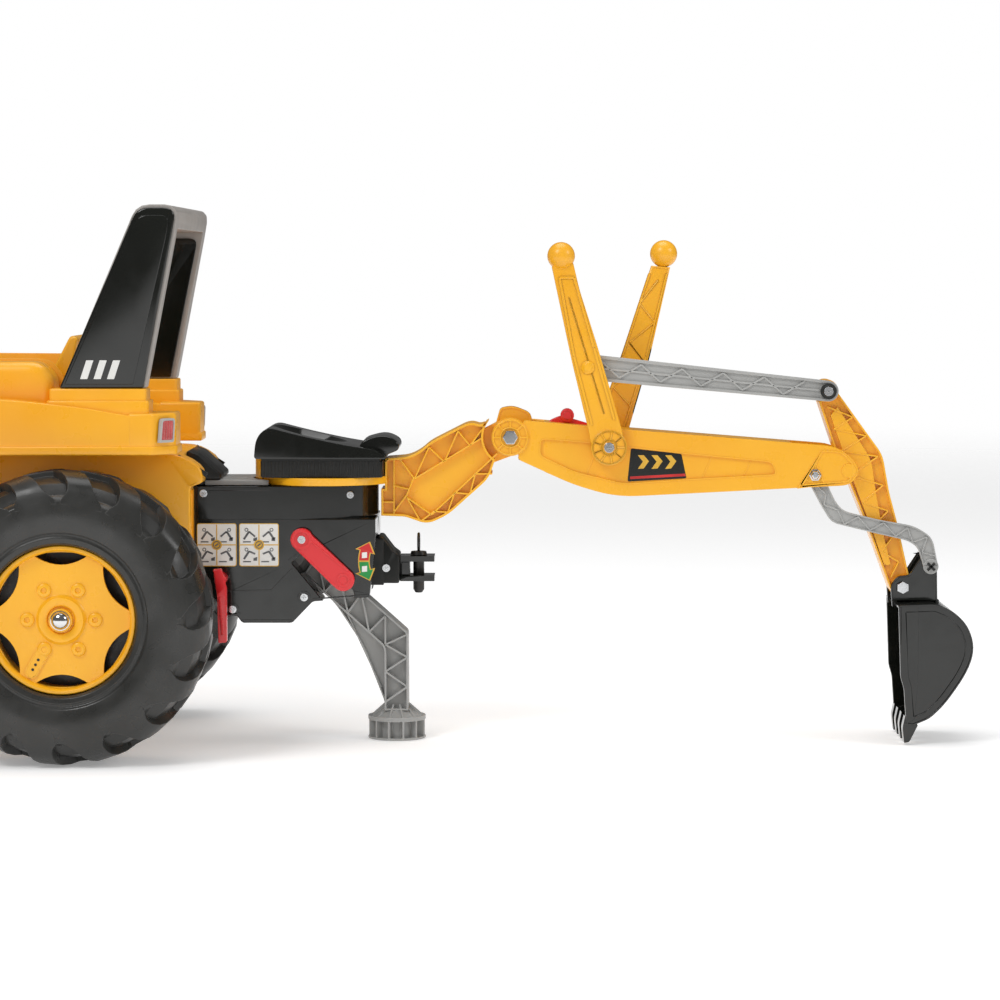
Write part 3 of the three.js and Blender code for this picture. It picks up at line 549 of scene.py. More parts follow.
def piece(name, bm, body, material, replaces=(), bevel=0.7, limit=38, segments=2, calm=True):
    if calm:
        bmesh.ops.remove_doubles(bm, verts=bm.verts, dist=0.002)
        bmesh.ops.recalc_face_normals(bm, faces=bm.faces)
    bmesh.ops.translate(bm, vec=(REAR_AXLE_X, 0, 0), verts=bm.verts)
    bmesh.ops.scale(bm, vec=(MM,) * 3, verts=bm.verts)
    mesh = bpy.data.meshes.new(name)
    bm.to_mesh(mesh)
    bm.free()
    mesh.shade_smooth()
    mesh.set_sharp_from_angle(angle=math.radians(limit))
    made = bpy.data.objects.new(name, mesh)
    bpy.context.scene.collection.objects.link(made)
    mesh.materials.append(material)
    if bevel > 0:
        edge = made.modifiers.new("soft_edges", "BEVEL")
        edge.width = bevel * MM
        edge.segments = segments
        edge.limit_method = "ANGLE"
        edge.angle_limit = math.radians(limit)
        edge.use_clamp_overlap = False
        edge.harden_normals = True
    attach(made, body)
    if replaces:
        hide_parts(*replaces)
    return made


def carve(target, cutter_bm):
    """Takes a shape out of a piece for good."""
    bmesh.ops.translate(cutter_bm, vec=(REAR_AXLE_X, 0, 0), verts=cutter_bm.verts)
    bmesh.ops.scale(cutter_bm, vec=(MM,) * 3, verts=cutter_bm.verts)
    mesh = bpy.data.meshes.new("cutter")
    cutter_bm.to_mesh(mesh)
    cutter_bm.free()
    cutter = bpy.data.objects.new("cutter", mesh)
    bpy.context.scene.collection.objects.link(cutter)
    cut = target.modifiers.new("cut", "BOOLEAN")
    cut.operation = "DIFFERENCE"
    cut.solver = "EXACT"
    cut.object = cutter
    while target.modifiers[0] != cut:
        target.modifiers.move(len(target.modifiers) - 1, 0)
    bpy.context.view_layer.update()
    others = [m for m in target.modifiers if m != cut]
    for modifier in others:
        modifier.show_viewport = False
    solved = target.evaluated_get(bpy.context.evaluated_depsgraph_get())
    carved = bpy.data.meshes.new_from_object(solved)
    target.modifiers.remove(cut)
    for modifier in others:
        modifier.show_viewport = True
    carved.shade_smooth()
    carved.set_sharp_from_angle(angle=math.radians(35))
    target.data = carved
    bpy.data.objects.remove(cutter)


def screw(bm, centre, y, radius, out=-1, depth=2.2):
    """A countersunk screw head with a cross slot, seen along Y."""
    x, z = centre
    near, far = sorted((y, y + out * depth))
    drum(bm, centre, radius, near, far, 24)
    top = y + out * depth
    for a, b in (((x - radius * 0.6, z), (x + radius * 0.6, z)), ((x, z - radius * 0.6), (x, z + radius * 0.6))):
        bar(bm, a, b, radius * 0.13, min(top, top + out * 0.35), max(top, top + out * 0.35))

# ---- wheels -------------------------------------------------------------------------------

LUGS = 16
RIM_WINDOWS = 6
LUG_ROOT = 12


def tyre_body(bm, wheel):
    """The hollow tyre section from bead to bead; its sizes follow the wheel's."""
    half = wheel["width"] / 2
    bead = wheel["bead"]
    radius = wheel["radius"]
    middle = -wheel["track"] / 2
    wall = radius - bead
    profile = [
        (bead, -half * 0.84), (bead + wall * 0.03, -half * 0.90), (bead + wall * 0.10, -half * 0.92),
        (bead + wall * 0.12, -half * 0.90), (bead + wall * 0.15, -half * 0.90),
        (bead + wall * 0.18, -half * 0.94), (bead + wall * 0.28, -half * 0.985),
        (bead + wall * 0.42, -half), (bead + wall * 0.54, -half * 0.985), (bead + wall * 0.61, -half * 0.965),
        (bead + wall * 0.64, -half * 0.93), (bead + wall * 0.68, -half * 0.82),
        (bead + wall * 0.75, -half * 0.75), (bead + wall * 0.83, -half * 0.64),
        (bead + wall * 0.88, -half * 0.45), (bead + wall * 0.91, -half * 0.10),
        (bead + wall * 0.985, -half * 0.08), (bead + wall * 0.985, 0),
    ]
    profile += [(r, -y) for r, y in reversed(profile[:-1])]
    profile.append(profile[0])
    turned(bm, (wheel["x"], wheel["z"]), [(r, middle + y) for r, y in profile], 96)


def tyre_lug(bm, wheel, turn, side):
    """One chevron lug, from the sidewall to just past the tyre's middle."""
    half = wheel["width"] / 2
    radius = wheel["radius"]
    wall = radius - wheel["bead"]
    middle = -wheel["track"] / 2
    stations = (
        (0.57, -0.982, 11.6, 0.0),
        (0.64, -0.962, 10.6, 0.2),
        (0.69, -0.945, 8.8, 0.6),
        (0.74, -0.925, 7.2, 1.1),
        (0.80, -0.890, 6.2, 1.8),
        (0.87, -0.820, 5.7, 2.8),
        (0.94, -0.690, 5.4, 4.4),
        (0.985, -0.510, 5.2, 6.4),
        (1.0, -0.280, 4.8, 9.4),
        (0.995, 0.050, 3.6, 13.5),
    )
    rings = []
    for share, across, spread, lean in stations:
        ring = []
        sunk = LUG_ROOT * (0.35 + 0.65 * (share - 0.57) / 0.43)
        for deep, edge in ((sunk, -1.06), (0, -0.9), (0, 0.9), (sunk, 1.06)):
            reach = wheel["bead"] + wall * share - deep
            angle = math.radians(turn + lean + edge * spread)
            inward = 0.16 if deep and across < -0.6 else 0
            ring.append(bm.verts.new((
                wheel["x"] + reach * math.cos(angle),
                middle + side * (across + inward) * half,
                wheel["z"] + reach * math.sin(angle),
            )))
        rings.append(ring)
    for first, second in zip(rings, rings[1:]):
        for i in range(4):
            bm.faces.new((first[i - 1], first[i], second[i], second[i - 1]))
    bm.faces.new(rings[0])
    bm.faces.new(reversed(rings[-1]))


def window_outline(wheel, turn):
    """A lens-shaped window in the rim's face."""
    reach = wheel["bead"] * 0.365
    centre = wheel["bead"] * 0.83
    left, right = Vector((-reach, centre + 2)), Vector((reach, centre + 2))
    path = []
    for start, middle, end in (
        (left, Vector((0, centre + 9)), right),
        (right, Vector((0, centre - 19)), left),
    ):
        for k in range(10):
            t = k / 10
            path.append(start.lerp(middle, t).lerp(middle.lerp(end, t), t))
    spin = Matrix.Rotation(turn, 2)
    return [spin @ p + Vector((wheel["x"], wheel["z"])) for p in path]


def around(wheel, reach, degrees):
    angle = math.radians(degrees)
    return (wheel["x"] + reach * math.cos(angle), wheel["z"] + reach * math.sin(angle))


def rim_shape(bm, wheel):
    middle = -wheel["track"] / 2
    half = wheel["width"] / 2
    bead = wheel["bead"]
    hub = bead * 0.32
    face = middle - half * 0.66
    centre = (wheel["x"], wheel["z"])
    windows = [window_outline(wheel, math.radians(60 * k)) for k in range(RIM_WINDOWS)]
    plate(bm, circle(*centre, bead - 6, 72), [*windows, circle(*centre, hub, 48)], face, face + 5)
    turned(bm, centre, [
        (bead - 0.4, face + 5), (bead - 0.4, face - 4), (bead - 2, face - 6.4), (bead - 5, face - 6.4),
        (bead - 7, face - 4), (bead - 8, face - 0.6), (bead - 8, face + 5),
        (bead - 5.5, middle + half * 0.75), (bead - 0.4, middle + half * 0.75), (bead - 0.4, face + 5),
    ], 72)
    turned(bm, centre, [
        (hub + 2, face + 5), (hub + 2, face + 0.4), (hub - 0.5, face - 1.2), (hub - 2.2, face - 4.4),
        (bead * 0.21, face - 4.8), (bead * 0.185, face - 3.6), (bead * 0.18, face - 1),
        (bead * 0.16, face - 1), (bead * 0.155, face - 8.6), (9, face - 9),
        (9, face + 14), (hub, face + 14), (hub + 2, face + 5),
    ], 48)
    for k in range(RIM_WINDOWS):
        boss = around(wheel, bead * 0.45, 60 * k)
        radius = bead * 0.092
        turned(bm, boss, [
            (0, face - 1.4), (radius * 0.36, face - 1.4), (radius * 0.44, face - 3.6),
            (radius * 0.84, face - 3.4), (radius * 1.02, face - 2.2), (radius * 1.12, face + 1),
        ], 24)
    for share, rise in ((1.0, 2.0), (0.8, 2.6)):
        tab_start = Vector(around(wheel, bead * 0.45, 240))
        tab_end = Vector(around(wheel, bead * 0.80, 240))
        half_width = bead * 0.088 * share
        way = (tab_end - tab_start).normalized()
        first = math.atan2(way.y, way.x) + math.pi / 2
        pill = [
            spot + half_width * Vector((math.cos(first + turn), math.sin(first + turn)))
            for spot, base in ((tab_start, 0), (tab_end, math.pi))
            for turn in (base + math.pi * i / 12 for i in range(13))
        ]
        plate(bm, pill, [], face - rise, face + 1)
    turned(bm, centre, [(hub, face + 14), (hub, middle + half * 0.72), (hub - 6, middle + half * 0.72)], 32)


def rim_dots(wheel, side, body):
    """Three black discs on the tab of a rim: painted shade standing in for its vent holes."""
    face = -wheel["track"] / 2 - wheel["width"] * 0.33
    bm = bmesh.new()
    for k in range(3):
        drum(bm, around(wheel, wheel["bead"] * (0.61 + 0.075 * k), 240), wheel["bead"] * 0.019,
             face - 2.9, face - 1, 14)
    if side == "far":
        mirror_across(bm)
    end = "rear" if wheel is REAR_WHEEL else "front"
    piece(f"{end}_rim_vent_hole_shade_{side}", bm, body, SATIN_BLACK, bevel=0)


def wheel_pair(end, wheel, near_body, far_body):
    for side, body in (("near", near_body), ("far", far_body)):
        tyre = bmesh.new()
        tyre_body(tyre, wheel)
        for k in range(LUGS):
            tyre_lug(tyre, wheel, 360 / LUGS * k + 11.25, 1)
            tyre_lug(tyre, wheel, 360 / LUGS * (k + 0.5) + 11.25, -1)
        rim = bmesh.new()
        rim_shape(rim, wheel)
        if side == "far":
            mirror_across(tyre)
            mirror_across(rim)
        piece(f"{end}_tyre_tread_{side}", tyre, body, RUBBER,
              [f"{end}_tyre_{side}"], bevel=0.9, limit=24)
        piece(f"{end}_wheel_rim_{side}", rim, body, YELLOW,
              [f"{end}_rim_{side}"], bevel=0.5)
        rim_dots(wheel, side, body)
        backing = bmesh.new()
        rings = [circle(wheel["x"], wheel["z"], radius, 48) for radius in (wheel["bead"] - 6, 9)]
        middle = -wheel["track"] / 2
        plate(backing, rings[0], [rings[1]], middle - 8, middle - 5)
        for k in range(6):
            bar(backing, around(wheel, 12, 60 * k), around(wheel, wheel["bead"] - 8, 60 * k), 2, middle - 14, middle - 7)
        if side == "far":
            mirror_across(backing)
        piece(f"{end}_wheel_inside_{side}", backing, body, RUBBER, bevel=0.5)


def hub_caps():
    wheel = REAR_WHEEL
    face = -wheel["track"] / 2 - wheel["width"] * 0.33 - 9
    for side in ("near", "far"):
        bm = bmesh.new()
        turned(bm, (wheel["x"], wheel["z"]), [
            (0, face - 8), (2.5, face - 7.8), (5.5, face - 6.9), (8, face - 5), (9.6, face - 2.6),
            (10.2, face - 1.6), (11, face - 1.4), (11, face - 0.3), (0, face - 0.3),
        ], 32)
        if side == "far":
            mirror_across(bm)
        piece(f"axle_cap_{side}", bm, "rear_axle_set", CHROME, [f"hub_cap_{side}"], bevel=0)


# ---- chassis, drive and steering ----------------------------------------------------------


def chassis():
    bm = copy_of("chassis_frame")
    for x in range(-600, 100, 70):
        block(bm, x, x + 4, -28.4, 28.4, 152, 188)
    piece("chassis_rails", bm, "tractor", STEEL, ["chassis_frame"], bevel=1.2)
    axle = copy_of("front_axle")
    drum(axle, (-560, 137), 7, -60, 60, 20)
    piece("front_axle_beam", axle, "front_axle_set", STEEL, ["front_axle"], bevel=1.0)
    piece("rear_axle_bar", copy_of("rear_axle"), "rear_axle_set", STEEL, ["rear_axle"], bevel=0.8)
    piece("pedal_crank_bar", copy_of("pedal_crank"), "crank_set", STEEL, ["pedal_crank"], bevel=0.8)
    guard = copy_of("chain_guard")
    for y0, y1 in ((33.2, 34), (48, 48.8)):
        bar(guard, (-280, 178), (-20, 180), 2, y0, y1)
        bar(guard, (-280, 162), (-20, 150), 2, y0, y1)
    piece("chain_cover", guard, "tractor", SATIN_BLACK, ["chain_guard"], bevel=1.5)


def pedals():
    for side, x, y0, y1 in (("near", -360, -140, -94), ("far", -240, 94, 140)):
        bm = bmesh.new()
        block(bm, x - 24, x - 18, y0, y1, 159, 181)
        block(bm, x + 18, x + 24, y0, y1, 159, 181)
        block(bm, x - 24, x + 24, y0, y0 + 4, 161, 179)
        block(bm, x - 24, x + 24, y1 - 4, y1, 161, 179)
        turned(bm, (x, 170), [(5.6, y0), (9, y0), (9, y1), (5.6, y1), (5.6, y0)], 24)
        for k in range(5):
            y = y0 + 6 + k * 8.2
            block(bm, x - 22, x + 22, y, y + 2.4, 176, 180.4)
            block(bm, x - 22, x + 22, y, y + 2.4, 159.6, 164)
        piece(f"foot_pedal_{side}", bm, f"pedal_{side}_set", SATIN_BLACK, [f"pedal_{side}"])


def steering():
    lean = Matrix.Rotation(STEERING["lean"], 4, "Y")
    place = Matrix.Translation((STEERING["x"], 0, STEERING["z"])) @ lean
    bm = bmesh.new()
    ring = bmesh.ops.create_circle(bm, segments=16, radius=8.8)["verts"]
    bmesh.ops.rotate(bm, verts=ring, cent=(0, 0, 0), matrix=Matrix.Rotation(math.pi / 2, 3, "X"))
    bmesh.ops.translate(bm, verts=ring, vec=(STEERING["radius"] - 9, 0, 0))
    bmesh.ops.spin(bm, geom=ring + list(bm.edges), cent=(0, 0, 0), axis=(0, 0, 1),
                   angle=2 * math.pi, steps=64, use_merge=True)
    post(bm, 0, 0, 22, -10, 6, 40, 18)
    post(bm, 0, 0, 12, 6, 10, 32, 9)
    post(bm, 0, 0, 8, -150, -8, 24)
    for k in range(3):
        arm = bmesh.new()
        block(arm, 10, STEERING["radius"] - 12, -8, 8, -4.5, 3.5)
        block(arm, 20, STEERING["radius"] - 18, -3, 3, 3, 5)
        mesh = bpy.data.meshes.new("arm")
        bmesh.ops.rotate(arm, verts=arm.verts, cent=(0, 0, 0),
                         matrix=Matrix.Rotation(math.pi / 2 + k * 2 * math.pi / 3, 3, "Z"))
        arm.to_mesh(mesh)
        arm.free()
        bm.from_mesh(mesh)
        bpy.data.meshes.remove(mesh)
    bmesh.ops.transform(bm, matrix=place, verts=bm.verts)
    piece("steering_ring", bm, "steering_set", SATIN_BLACK, ["steering_wheel"], bevel=1.0)


# ---- bodywork -----------------------------------------------------------------------------


def hull():
    bm = copy_of("body_hull")
    for y0, y1 in ((-119, -118), (118, 119)):
        bar(bm, (-180, 300), (60, 300), 2.2, y0, y1)
        bar(bm, (-180, 238), (110, 238), 2.2, y0, y1)
    for y in (-100, -90, 90, 100):
        block(bm, 130.6, 131.6, y - 2, y + 2, 222, 300)
    piece("body_tub", bm, "tractor", BODY_YELLOW, ["body_hull"], bevel=2.2)
    braces = bmesh.new()
    for y0, y1 in ((-112, -106), (106, 112)):
        bar(braces, (116, 339), (150, 317), 2.6, y0, y1)
    piece("rear_braces", braces, "tractor", GLOSS_BLACK)


def bonnet():
    bm = copy_of("bonnet")
    for side in (-1, 1):
        low, high = sorted((side * 78, side * 78.9))
        for k in range(6):
            x = -600 + k * 26
            bar(bm, (x, 300), (x + 22, 360), 4, low, high)
        bar(bm, (-620, 250), (-240, 262), 2.4, low, high)
        drum(bm, (-250, 400), 16, min(side * 78, side * 80), max(side * 78, side * 80), 32)
    piece("bonnet_shell", bm, "tractor", BODY_YELLOW, ["bonnet"], bevel=3.0)
    grille = copy_of("grille")
    for k in range(7):
        z = 240 + k * 19
        block(grille, -657.2, -653, -50, 50, z, z + 8)
    for y in (-40, 40):
        place = Matrix.Translation((-655.5, y, 372)) @ Matrix.Rotation(math.pi / 2, 4, "Y")
        bmesh.ops.create_cone(grille, cap_ends=True, segments=32, radius1=13, radius2=11, depth=5, matrix=place)
    piece("front_grille", grille, "tractor", SATIN_BLACK, ["grille"], bevel=0.9)


FENDER_SIDE = [
    (-206, 262, 3), (-206, 330, 30), (-185, 408, 40), (-72, 408, 30), (23, 398, 20), (90, 386, 8),
    (96, 348, 3), (-95, 348, 20), (-145, 312, 20), (-176, 262, 3),
]
FENDER_HUMP = [(-190, 390), (-182, 448, 26), (-30, 449, 14), (-16, 430, 6), (-16, 390)]
FENDER_CORNER = [(70, -118.4), (121, -118.4, 4), (121, -172, 5), (96, -200.4, 5), (70, -200.4)]


def fender_shell(bm):
    main = bmesh.new()
    slab(main, FENDER_SIDE, -200, -118.3)
    absorb(bm, soften(main, 9, 4))
    hump = bmesh.new()
    slab(hump, FENDER_HUMP, -176, -118.3)
    absorb(bm, soften(hump, 12, 5))
    pedestal = bmesh.new()
    layer(pedestal, [(-19, -193, 5), (90, -193, 5), (90, -146, 5), (-19, -146, 5)], 380, 419.2)
    absorb(bm, soften(pedestal, 2, 3))
    foot = bmesh.new()
    layer(foot, [(-22, -195.5, 6), (93, -195.5, 6), (93, -143, 6), (-22, -143, 6)], 380, 406)
    absorb(bm, soften(foot, 2, 3))
    corner = bmesh.new()
    layer(corner, FENDER_CORNER, 348.4, 391.6)
    absorb(bm, soften(corner, 4, 4))
    skirt = bmesh.new()
    layer(skirt, [(-92, -118.3), (122.5, -118.3), (122.5, -173, 5), (97, -202, 5), (-92, -202)], 345, 355)
    absorb(bm, soften(skirt, 1.6, 3))
    crease = bmesh.new()
    slab(crease, [(-188, 408), (-178, 452, 26), (-26, 451, 14), (-12, 432, 6), (-12, 408)], -121, -118.3)
    absorb(bm, soften(crease, 0.8, 2))


def tail_lamp(side):
    lamp = bmesh.new()
    glass = bmesh.new()
    outline = [(-11, 359), (10, 359, 3), (12, 386, 4), (-8, 386, 4)]
    rim = rounded(outline)
    opening = [p * 0.80 + Vector((0.2, 74.6)) for p in rim]
    plate(lamp, rim, [opening], -5.4, -0.3)
    plate(lamp, rim, [], -1.6, -0.3)
    plate(glass, opening, [], -4.6, -1.4)
    for k in range(5):
        x = -7.4 + k * 3.6
        bar(glass, (x - 0.6, 363), (x + 0.9, 382), 0.7, -5.2, -4.4)
    for bm, name, finish, slot, replaced in (
        (lamp, "lamp_frame", GREY, "grey_plastic", ()),
        (glass, "lamp_glass", LENS_RED, "lens_red", [f"tail_light_{side}"]),
    ):
        turn = Matrix.Translation((109.5, -187, 0)) @ Matrix.Rotation(0.84, 4, "Z")
        bmesh.ops.transform(bm, matrix=turn, verts=bm.verts)
        if side == "far":
            mirror_across(bm)
        piece(f"{name}_{side}", bm, "tractor", finish, replaced, bevel=0.4)


def fenders():
    for side in ("near", "far"):
        bm = bmesh.new()
        fender_shell(bm)
        if side == "far":
            mirror_across(bm)
        piece(f"rear_fender_{side}", bm, "tractor", BODY_YELLOW, [f"fender_{side}"], bevel=0)
        tail_lamp(side)


def driver_seat():
    bm = bmesh.new()
    slab(bm, [
        (-185, DECK_Z + 0.3, 4), (-190, 385, 14), (-60, 382, 20), (-26, 440, 30),
        (-6, 478, 6), (3, 474, 4), (-8, 420, 20), (-12, DECK_Z + 0.3, 4),
    ], -104, 104)
    seat = piece("driver_seat", bm, "tractor", YELLOW, ["tractor_seat"], bevel=3.5, segments=3)
    dish = bmesh.new()
    place = Matrix.Translation((-105, 0, 412)) @ Matrix.Diagonal((78, 84, 48, 1))
    bmesh.ops.create_uvsphere(dish, u_segments=64, v_segments=32, radius=1, matrix=place)
    carve(seat, dish)


HOOP_COVER = [(-8, HOOP_BASE), (86, HOOP_BASE), (119, 590), (124.5, HOOP_TOP - 3.5, 15), (81, HOOP_TOP - 3.5, 13)]
HOOP_COVER_INNER = [(-2, 424), (75, 424), (113, 588, 4), (117, 613, 10), (83, 613, 9)]


def roll_hoop():
    bm = copy_of("roll_hoop")
    piece("hoop_frame", bm, "tractor", HOOP_GREY_PLASTIC, ["roll_hoop"], bevel=1.6, segments=3)
    vents = bmesh.new()
    for k in range(9):
        y = -64 + k * 16
        slab(vents, [(120.6, 602), (122.8, 616), (124.0, 616), (122.4, 602)], y - 4, y + 4)
    piece("hoop_vents", vents, "tractor", LABEL_WHITE, bevel=0.2)
    for side in ("near", "far"):
        panel = bmesh.new()
        body = bmesh.new()
        slab(body, HOOP_COVER, -HOOP_OUT - 4.6, -HOOP_OUT - 0.3)
        absorb(panel, soften(body, 2.6, 4))
        raised = bmesh.new()
        slab(raised, HOOP_COVER_INNER, -HOOP_OUT - 6, -HOOP_OUT - 3)
        absorb(panel, soften(raised, 1.0, 3))
        mark = bmesh.new()
        for k in range(3):
            x = 16 + k * 15
            slab(mark, [(x, 430), (x + 8, 430), (x + 15, 451), (x + 7, 451)], -HOOP_OUT - 6.3, -HOOP_OUT - 5.9)
        lining = copy_of(f"hoop_lining_{side}")
        if side == "far":
            mirror_across(panel)
            mirror_across(mark)
        piece(f"hoop_cover_{side}", panel, "tractor", GLOSS_BLACK,
              [f"hoop_panel_{side}"], bevel=0)
        piece(f"hoop_stripes_{side}", mark, "tractor", LABEL_WHITE, bevel=0)
        piece(f"hoop_inner_{side}", lining, "tractor", GLOSS_BLACK,
              [f"hoop_lining_{side}"], bevel=0.8)


# ---- front loader -------------------------------------------------------------------------


def loader():
    for side in ("near", "far"):
        bm = copy_of(f"loader_arm_{side}")
        near, far = (-98.8, -97.6) if side == "near" else (97.6, 98.8)
        bar(bm, (-280, 404), (-590, 346), 2, near, far)
        bar(bm, (-290, 388), (-590, 326), 2, near, far)
        bar(bm, (-608, 322), (-722, 138), 2, near, far)
        for centre in ((-600, 335), (-740, 105)):
            screw(bm, centre, -98 if side == "near" else 98, 7, -1 if side == "near" else 1, 3)
        piece(f"loader_boom_{side}", bm, "loader_set", YELLOW, [f"loader_arm_{side}"], bevel=1.2)
    cross = bmesh.new()
    turned(cross, (-688, 190), [(0, -83.7), (9, -83.7), (9, -70), (7.5, -66), (7.5, 66), (9, 70), (9, 83.7), (0, 83.7)], 32)
    piece("loader_cross_tube", cross, "loader_set", STEEL, ["loader_crossbar"], bevel=0.6)
    bucket = copy_of("loader_bucket")
    for y in (-150, -75, 0, 75, 150):
        block(bucket, -757.4, -755.6, y - 3, y + 3, 50, 162)
    for side in (-1, 1):
        low, high = sorted((side * 200, side * 201))
        bar(bucket, (-930, 24), (-815, 140), 2.4, low, high)
    piece("loader_scoop", bucket, "loader_bucket_set", YELLOW, ["loader_bucket"], bevel=1.2)

# ---- digger housing -----------------------------------------------------------------------


def sided(side, y0, y1):
    """The span between two distances on the near side, or its mirror image."""
    return (y0, y1) if side == "near" else (-y1, -y0)


HOUSING_LOWER = [
    (130, 264), (130, 196, 6), (158, 166, 6), (163, 151, 3), (180, 151), (186, 143, 3), (244, 143, 3),
    (268, 168, 3), (334, 173, 4), (341, 240, 8), (341, 264),
]
LEG_CHANNEL = [(219, 214, 6), (232, 243, 10), (252, 243, 6), (350, 194), (350, 140), (282, 140), (226, 196, 6)]
LEG_WINDOW = [(243, 214, 4), (262, 228, 4), (316, 180, 4), (316, 150), (296, 150)]
SCREW_SPOTS = ((142, 294), (258, 173), (175, 159))
CORNER_SCREW = (311, 291)


def housing():
    for side in ("near", "far"):
        bm = bmesh.new()
        shell = rounded(HOUSING_LOWER)
        plate(bm, shell, [rounded(LEG_WINDOW)], -70, -23)
        plate(bm, shell, [rounded(LEG_CHANNEL)], -23, -0.2)
        arc = [(SLEW_X + 63 * math.cos(t), -63 * math.sin(t)) for t in (math.pi / 48 * i for i in range(25))]
        upper = bmesh.new()
        layer(upper, [(130, -0.2), (342, -0.2), *arc[1:], (252, -70), (130, -70)], 262, 302)
        absorb(bm, upper)
        lid = bmesh.new()
        layer(lid, [(129.4, -0.2), (219, -0.2), (219, -70.8), (129.4, -70.8)], 296.5, 302)
        absorb(bm, lid)
        if side == "far":
            mirror_across(bm)
        ridges = bmesh.new()
        raised = sided(side, -70.9, -69.2)
        for a, b in (((132, 263), (251, 263)), ((162, 180), (220, 181)), ((220, 181), (244, 206)),
                     ((164, 154), (184, 154)), ((186, 146), (244, 146)), ((268, 171), (333, 176)),
                     ((240, 216), (262, 232)), ((262, 232), (274, 223))):
            bar(ridges, a, b, 0.8, *raised)
        for centre in SCREW_SPOTS:
            turned(ridges, centre, [(0, raised[0]), (7.4, raised[0]), (7.4, raised[1]), (0, raised[1])], 28)
        low, high = sided(side, -55.2, -40)
        turned(ridges, CORNER_SCREW, [(0, low), (5.4, low), (5.4, high), (0, high), (0, low)], 28)
        piece(f"housing_ridges_{side}", ridges, "tractor", GLOSS_BLACK, bevel=0.3)
        piece(f"digger_housing_{side}", bm, "tractor", GLOSS_BLACK,
              [f"housing_{side}"], bevel=1.1)
        bolts = bmesh.new()
        y, out = (-70.9, -1) if side == "near" else (70.9, 1)
        for centre in SCREW_SPOTS:
            screw(bolts, centre, y, 4.6, out, 1.6)
        screw(bolts, CORNER_SCREW, out * 55.2, 4.2, out, 1.2)
        piece(f"housing_screws_{side}", bolts, "tractor", CHROME, bevel=0.4)
    deck = copy_of("housing_plate")
    for y in (-30, 0, 30):
        block(deck, 146, 190, y - 1, y + 1, 308, 309.4)
    piece("housing_deck", deck, "tractor", GREY, ["housing_plate"], bevel=1.0)
    bracket = copy_of("coupling_bracket")
    for y in (-45, -15, 15, 45):
        block(bracket, 128, 131.2, y - 1.5, y + 1.5, 232, 296)
    piece("coupling_hook", bracket, "tractor", SATIN_BLACK, ["coupling_bracket"], bevel=1.0)


PICTURE_SIZE = 20
PICTURE_ROWS = 2


def control_label(bm_print, bm_gold, x0, z0):
    """Four generic pictures of the arm's movements, two by two, with gold dividers."""
    y0, y1 = -70.62, -70.4
    for row in range(PICTURE_ROWS):
        for column in range(2):
            x = x0 + 2.5 + column * (PICTURE_SIZE + 1)
            z = z0 + 3 + row * (PICTURE_SIZE + 3)
            flip = -1 if column else 1
            mid = x + PICTURE_SIZE / 2
            bar(bm_print, (mid - 7 * flip, z + 5), (mid - 1 * flip, z + 14), 1.2, y0, y1)
            bar(bm_print, (mid - 1 * flip, z + 14), (mid + 6 * flip, z + 11 - 3 * row), 1.0, y0, y1)
            slab(bm_print, [(mid + 4, z + 3), (mid + 8, z + 3), (mid + 8.5, z + 7.5), (mid + 4, z + 6)], y0, y1)
            bar(bm_print, (mid - 8, z + 2), (mid + 1, z + 2), 0.7, y0, y1)
            plate(bm_print, circle(mid - 4 * flip, z + 16, 2.2, 16), [circle(mid - 4 * flip, z + 16, 1.3, 16)], y0, y1)
    bar(bm_gold, (x0 + 23, z0 + 1), (x0 + 23, z0 + 48), 0.6, y0, y1)
    bar(bm_gold, (x0 + 1, z0 + 24.5), (x0 + 45, z0 + 24.5), 0.6, y0, y1)


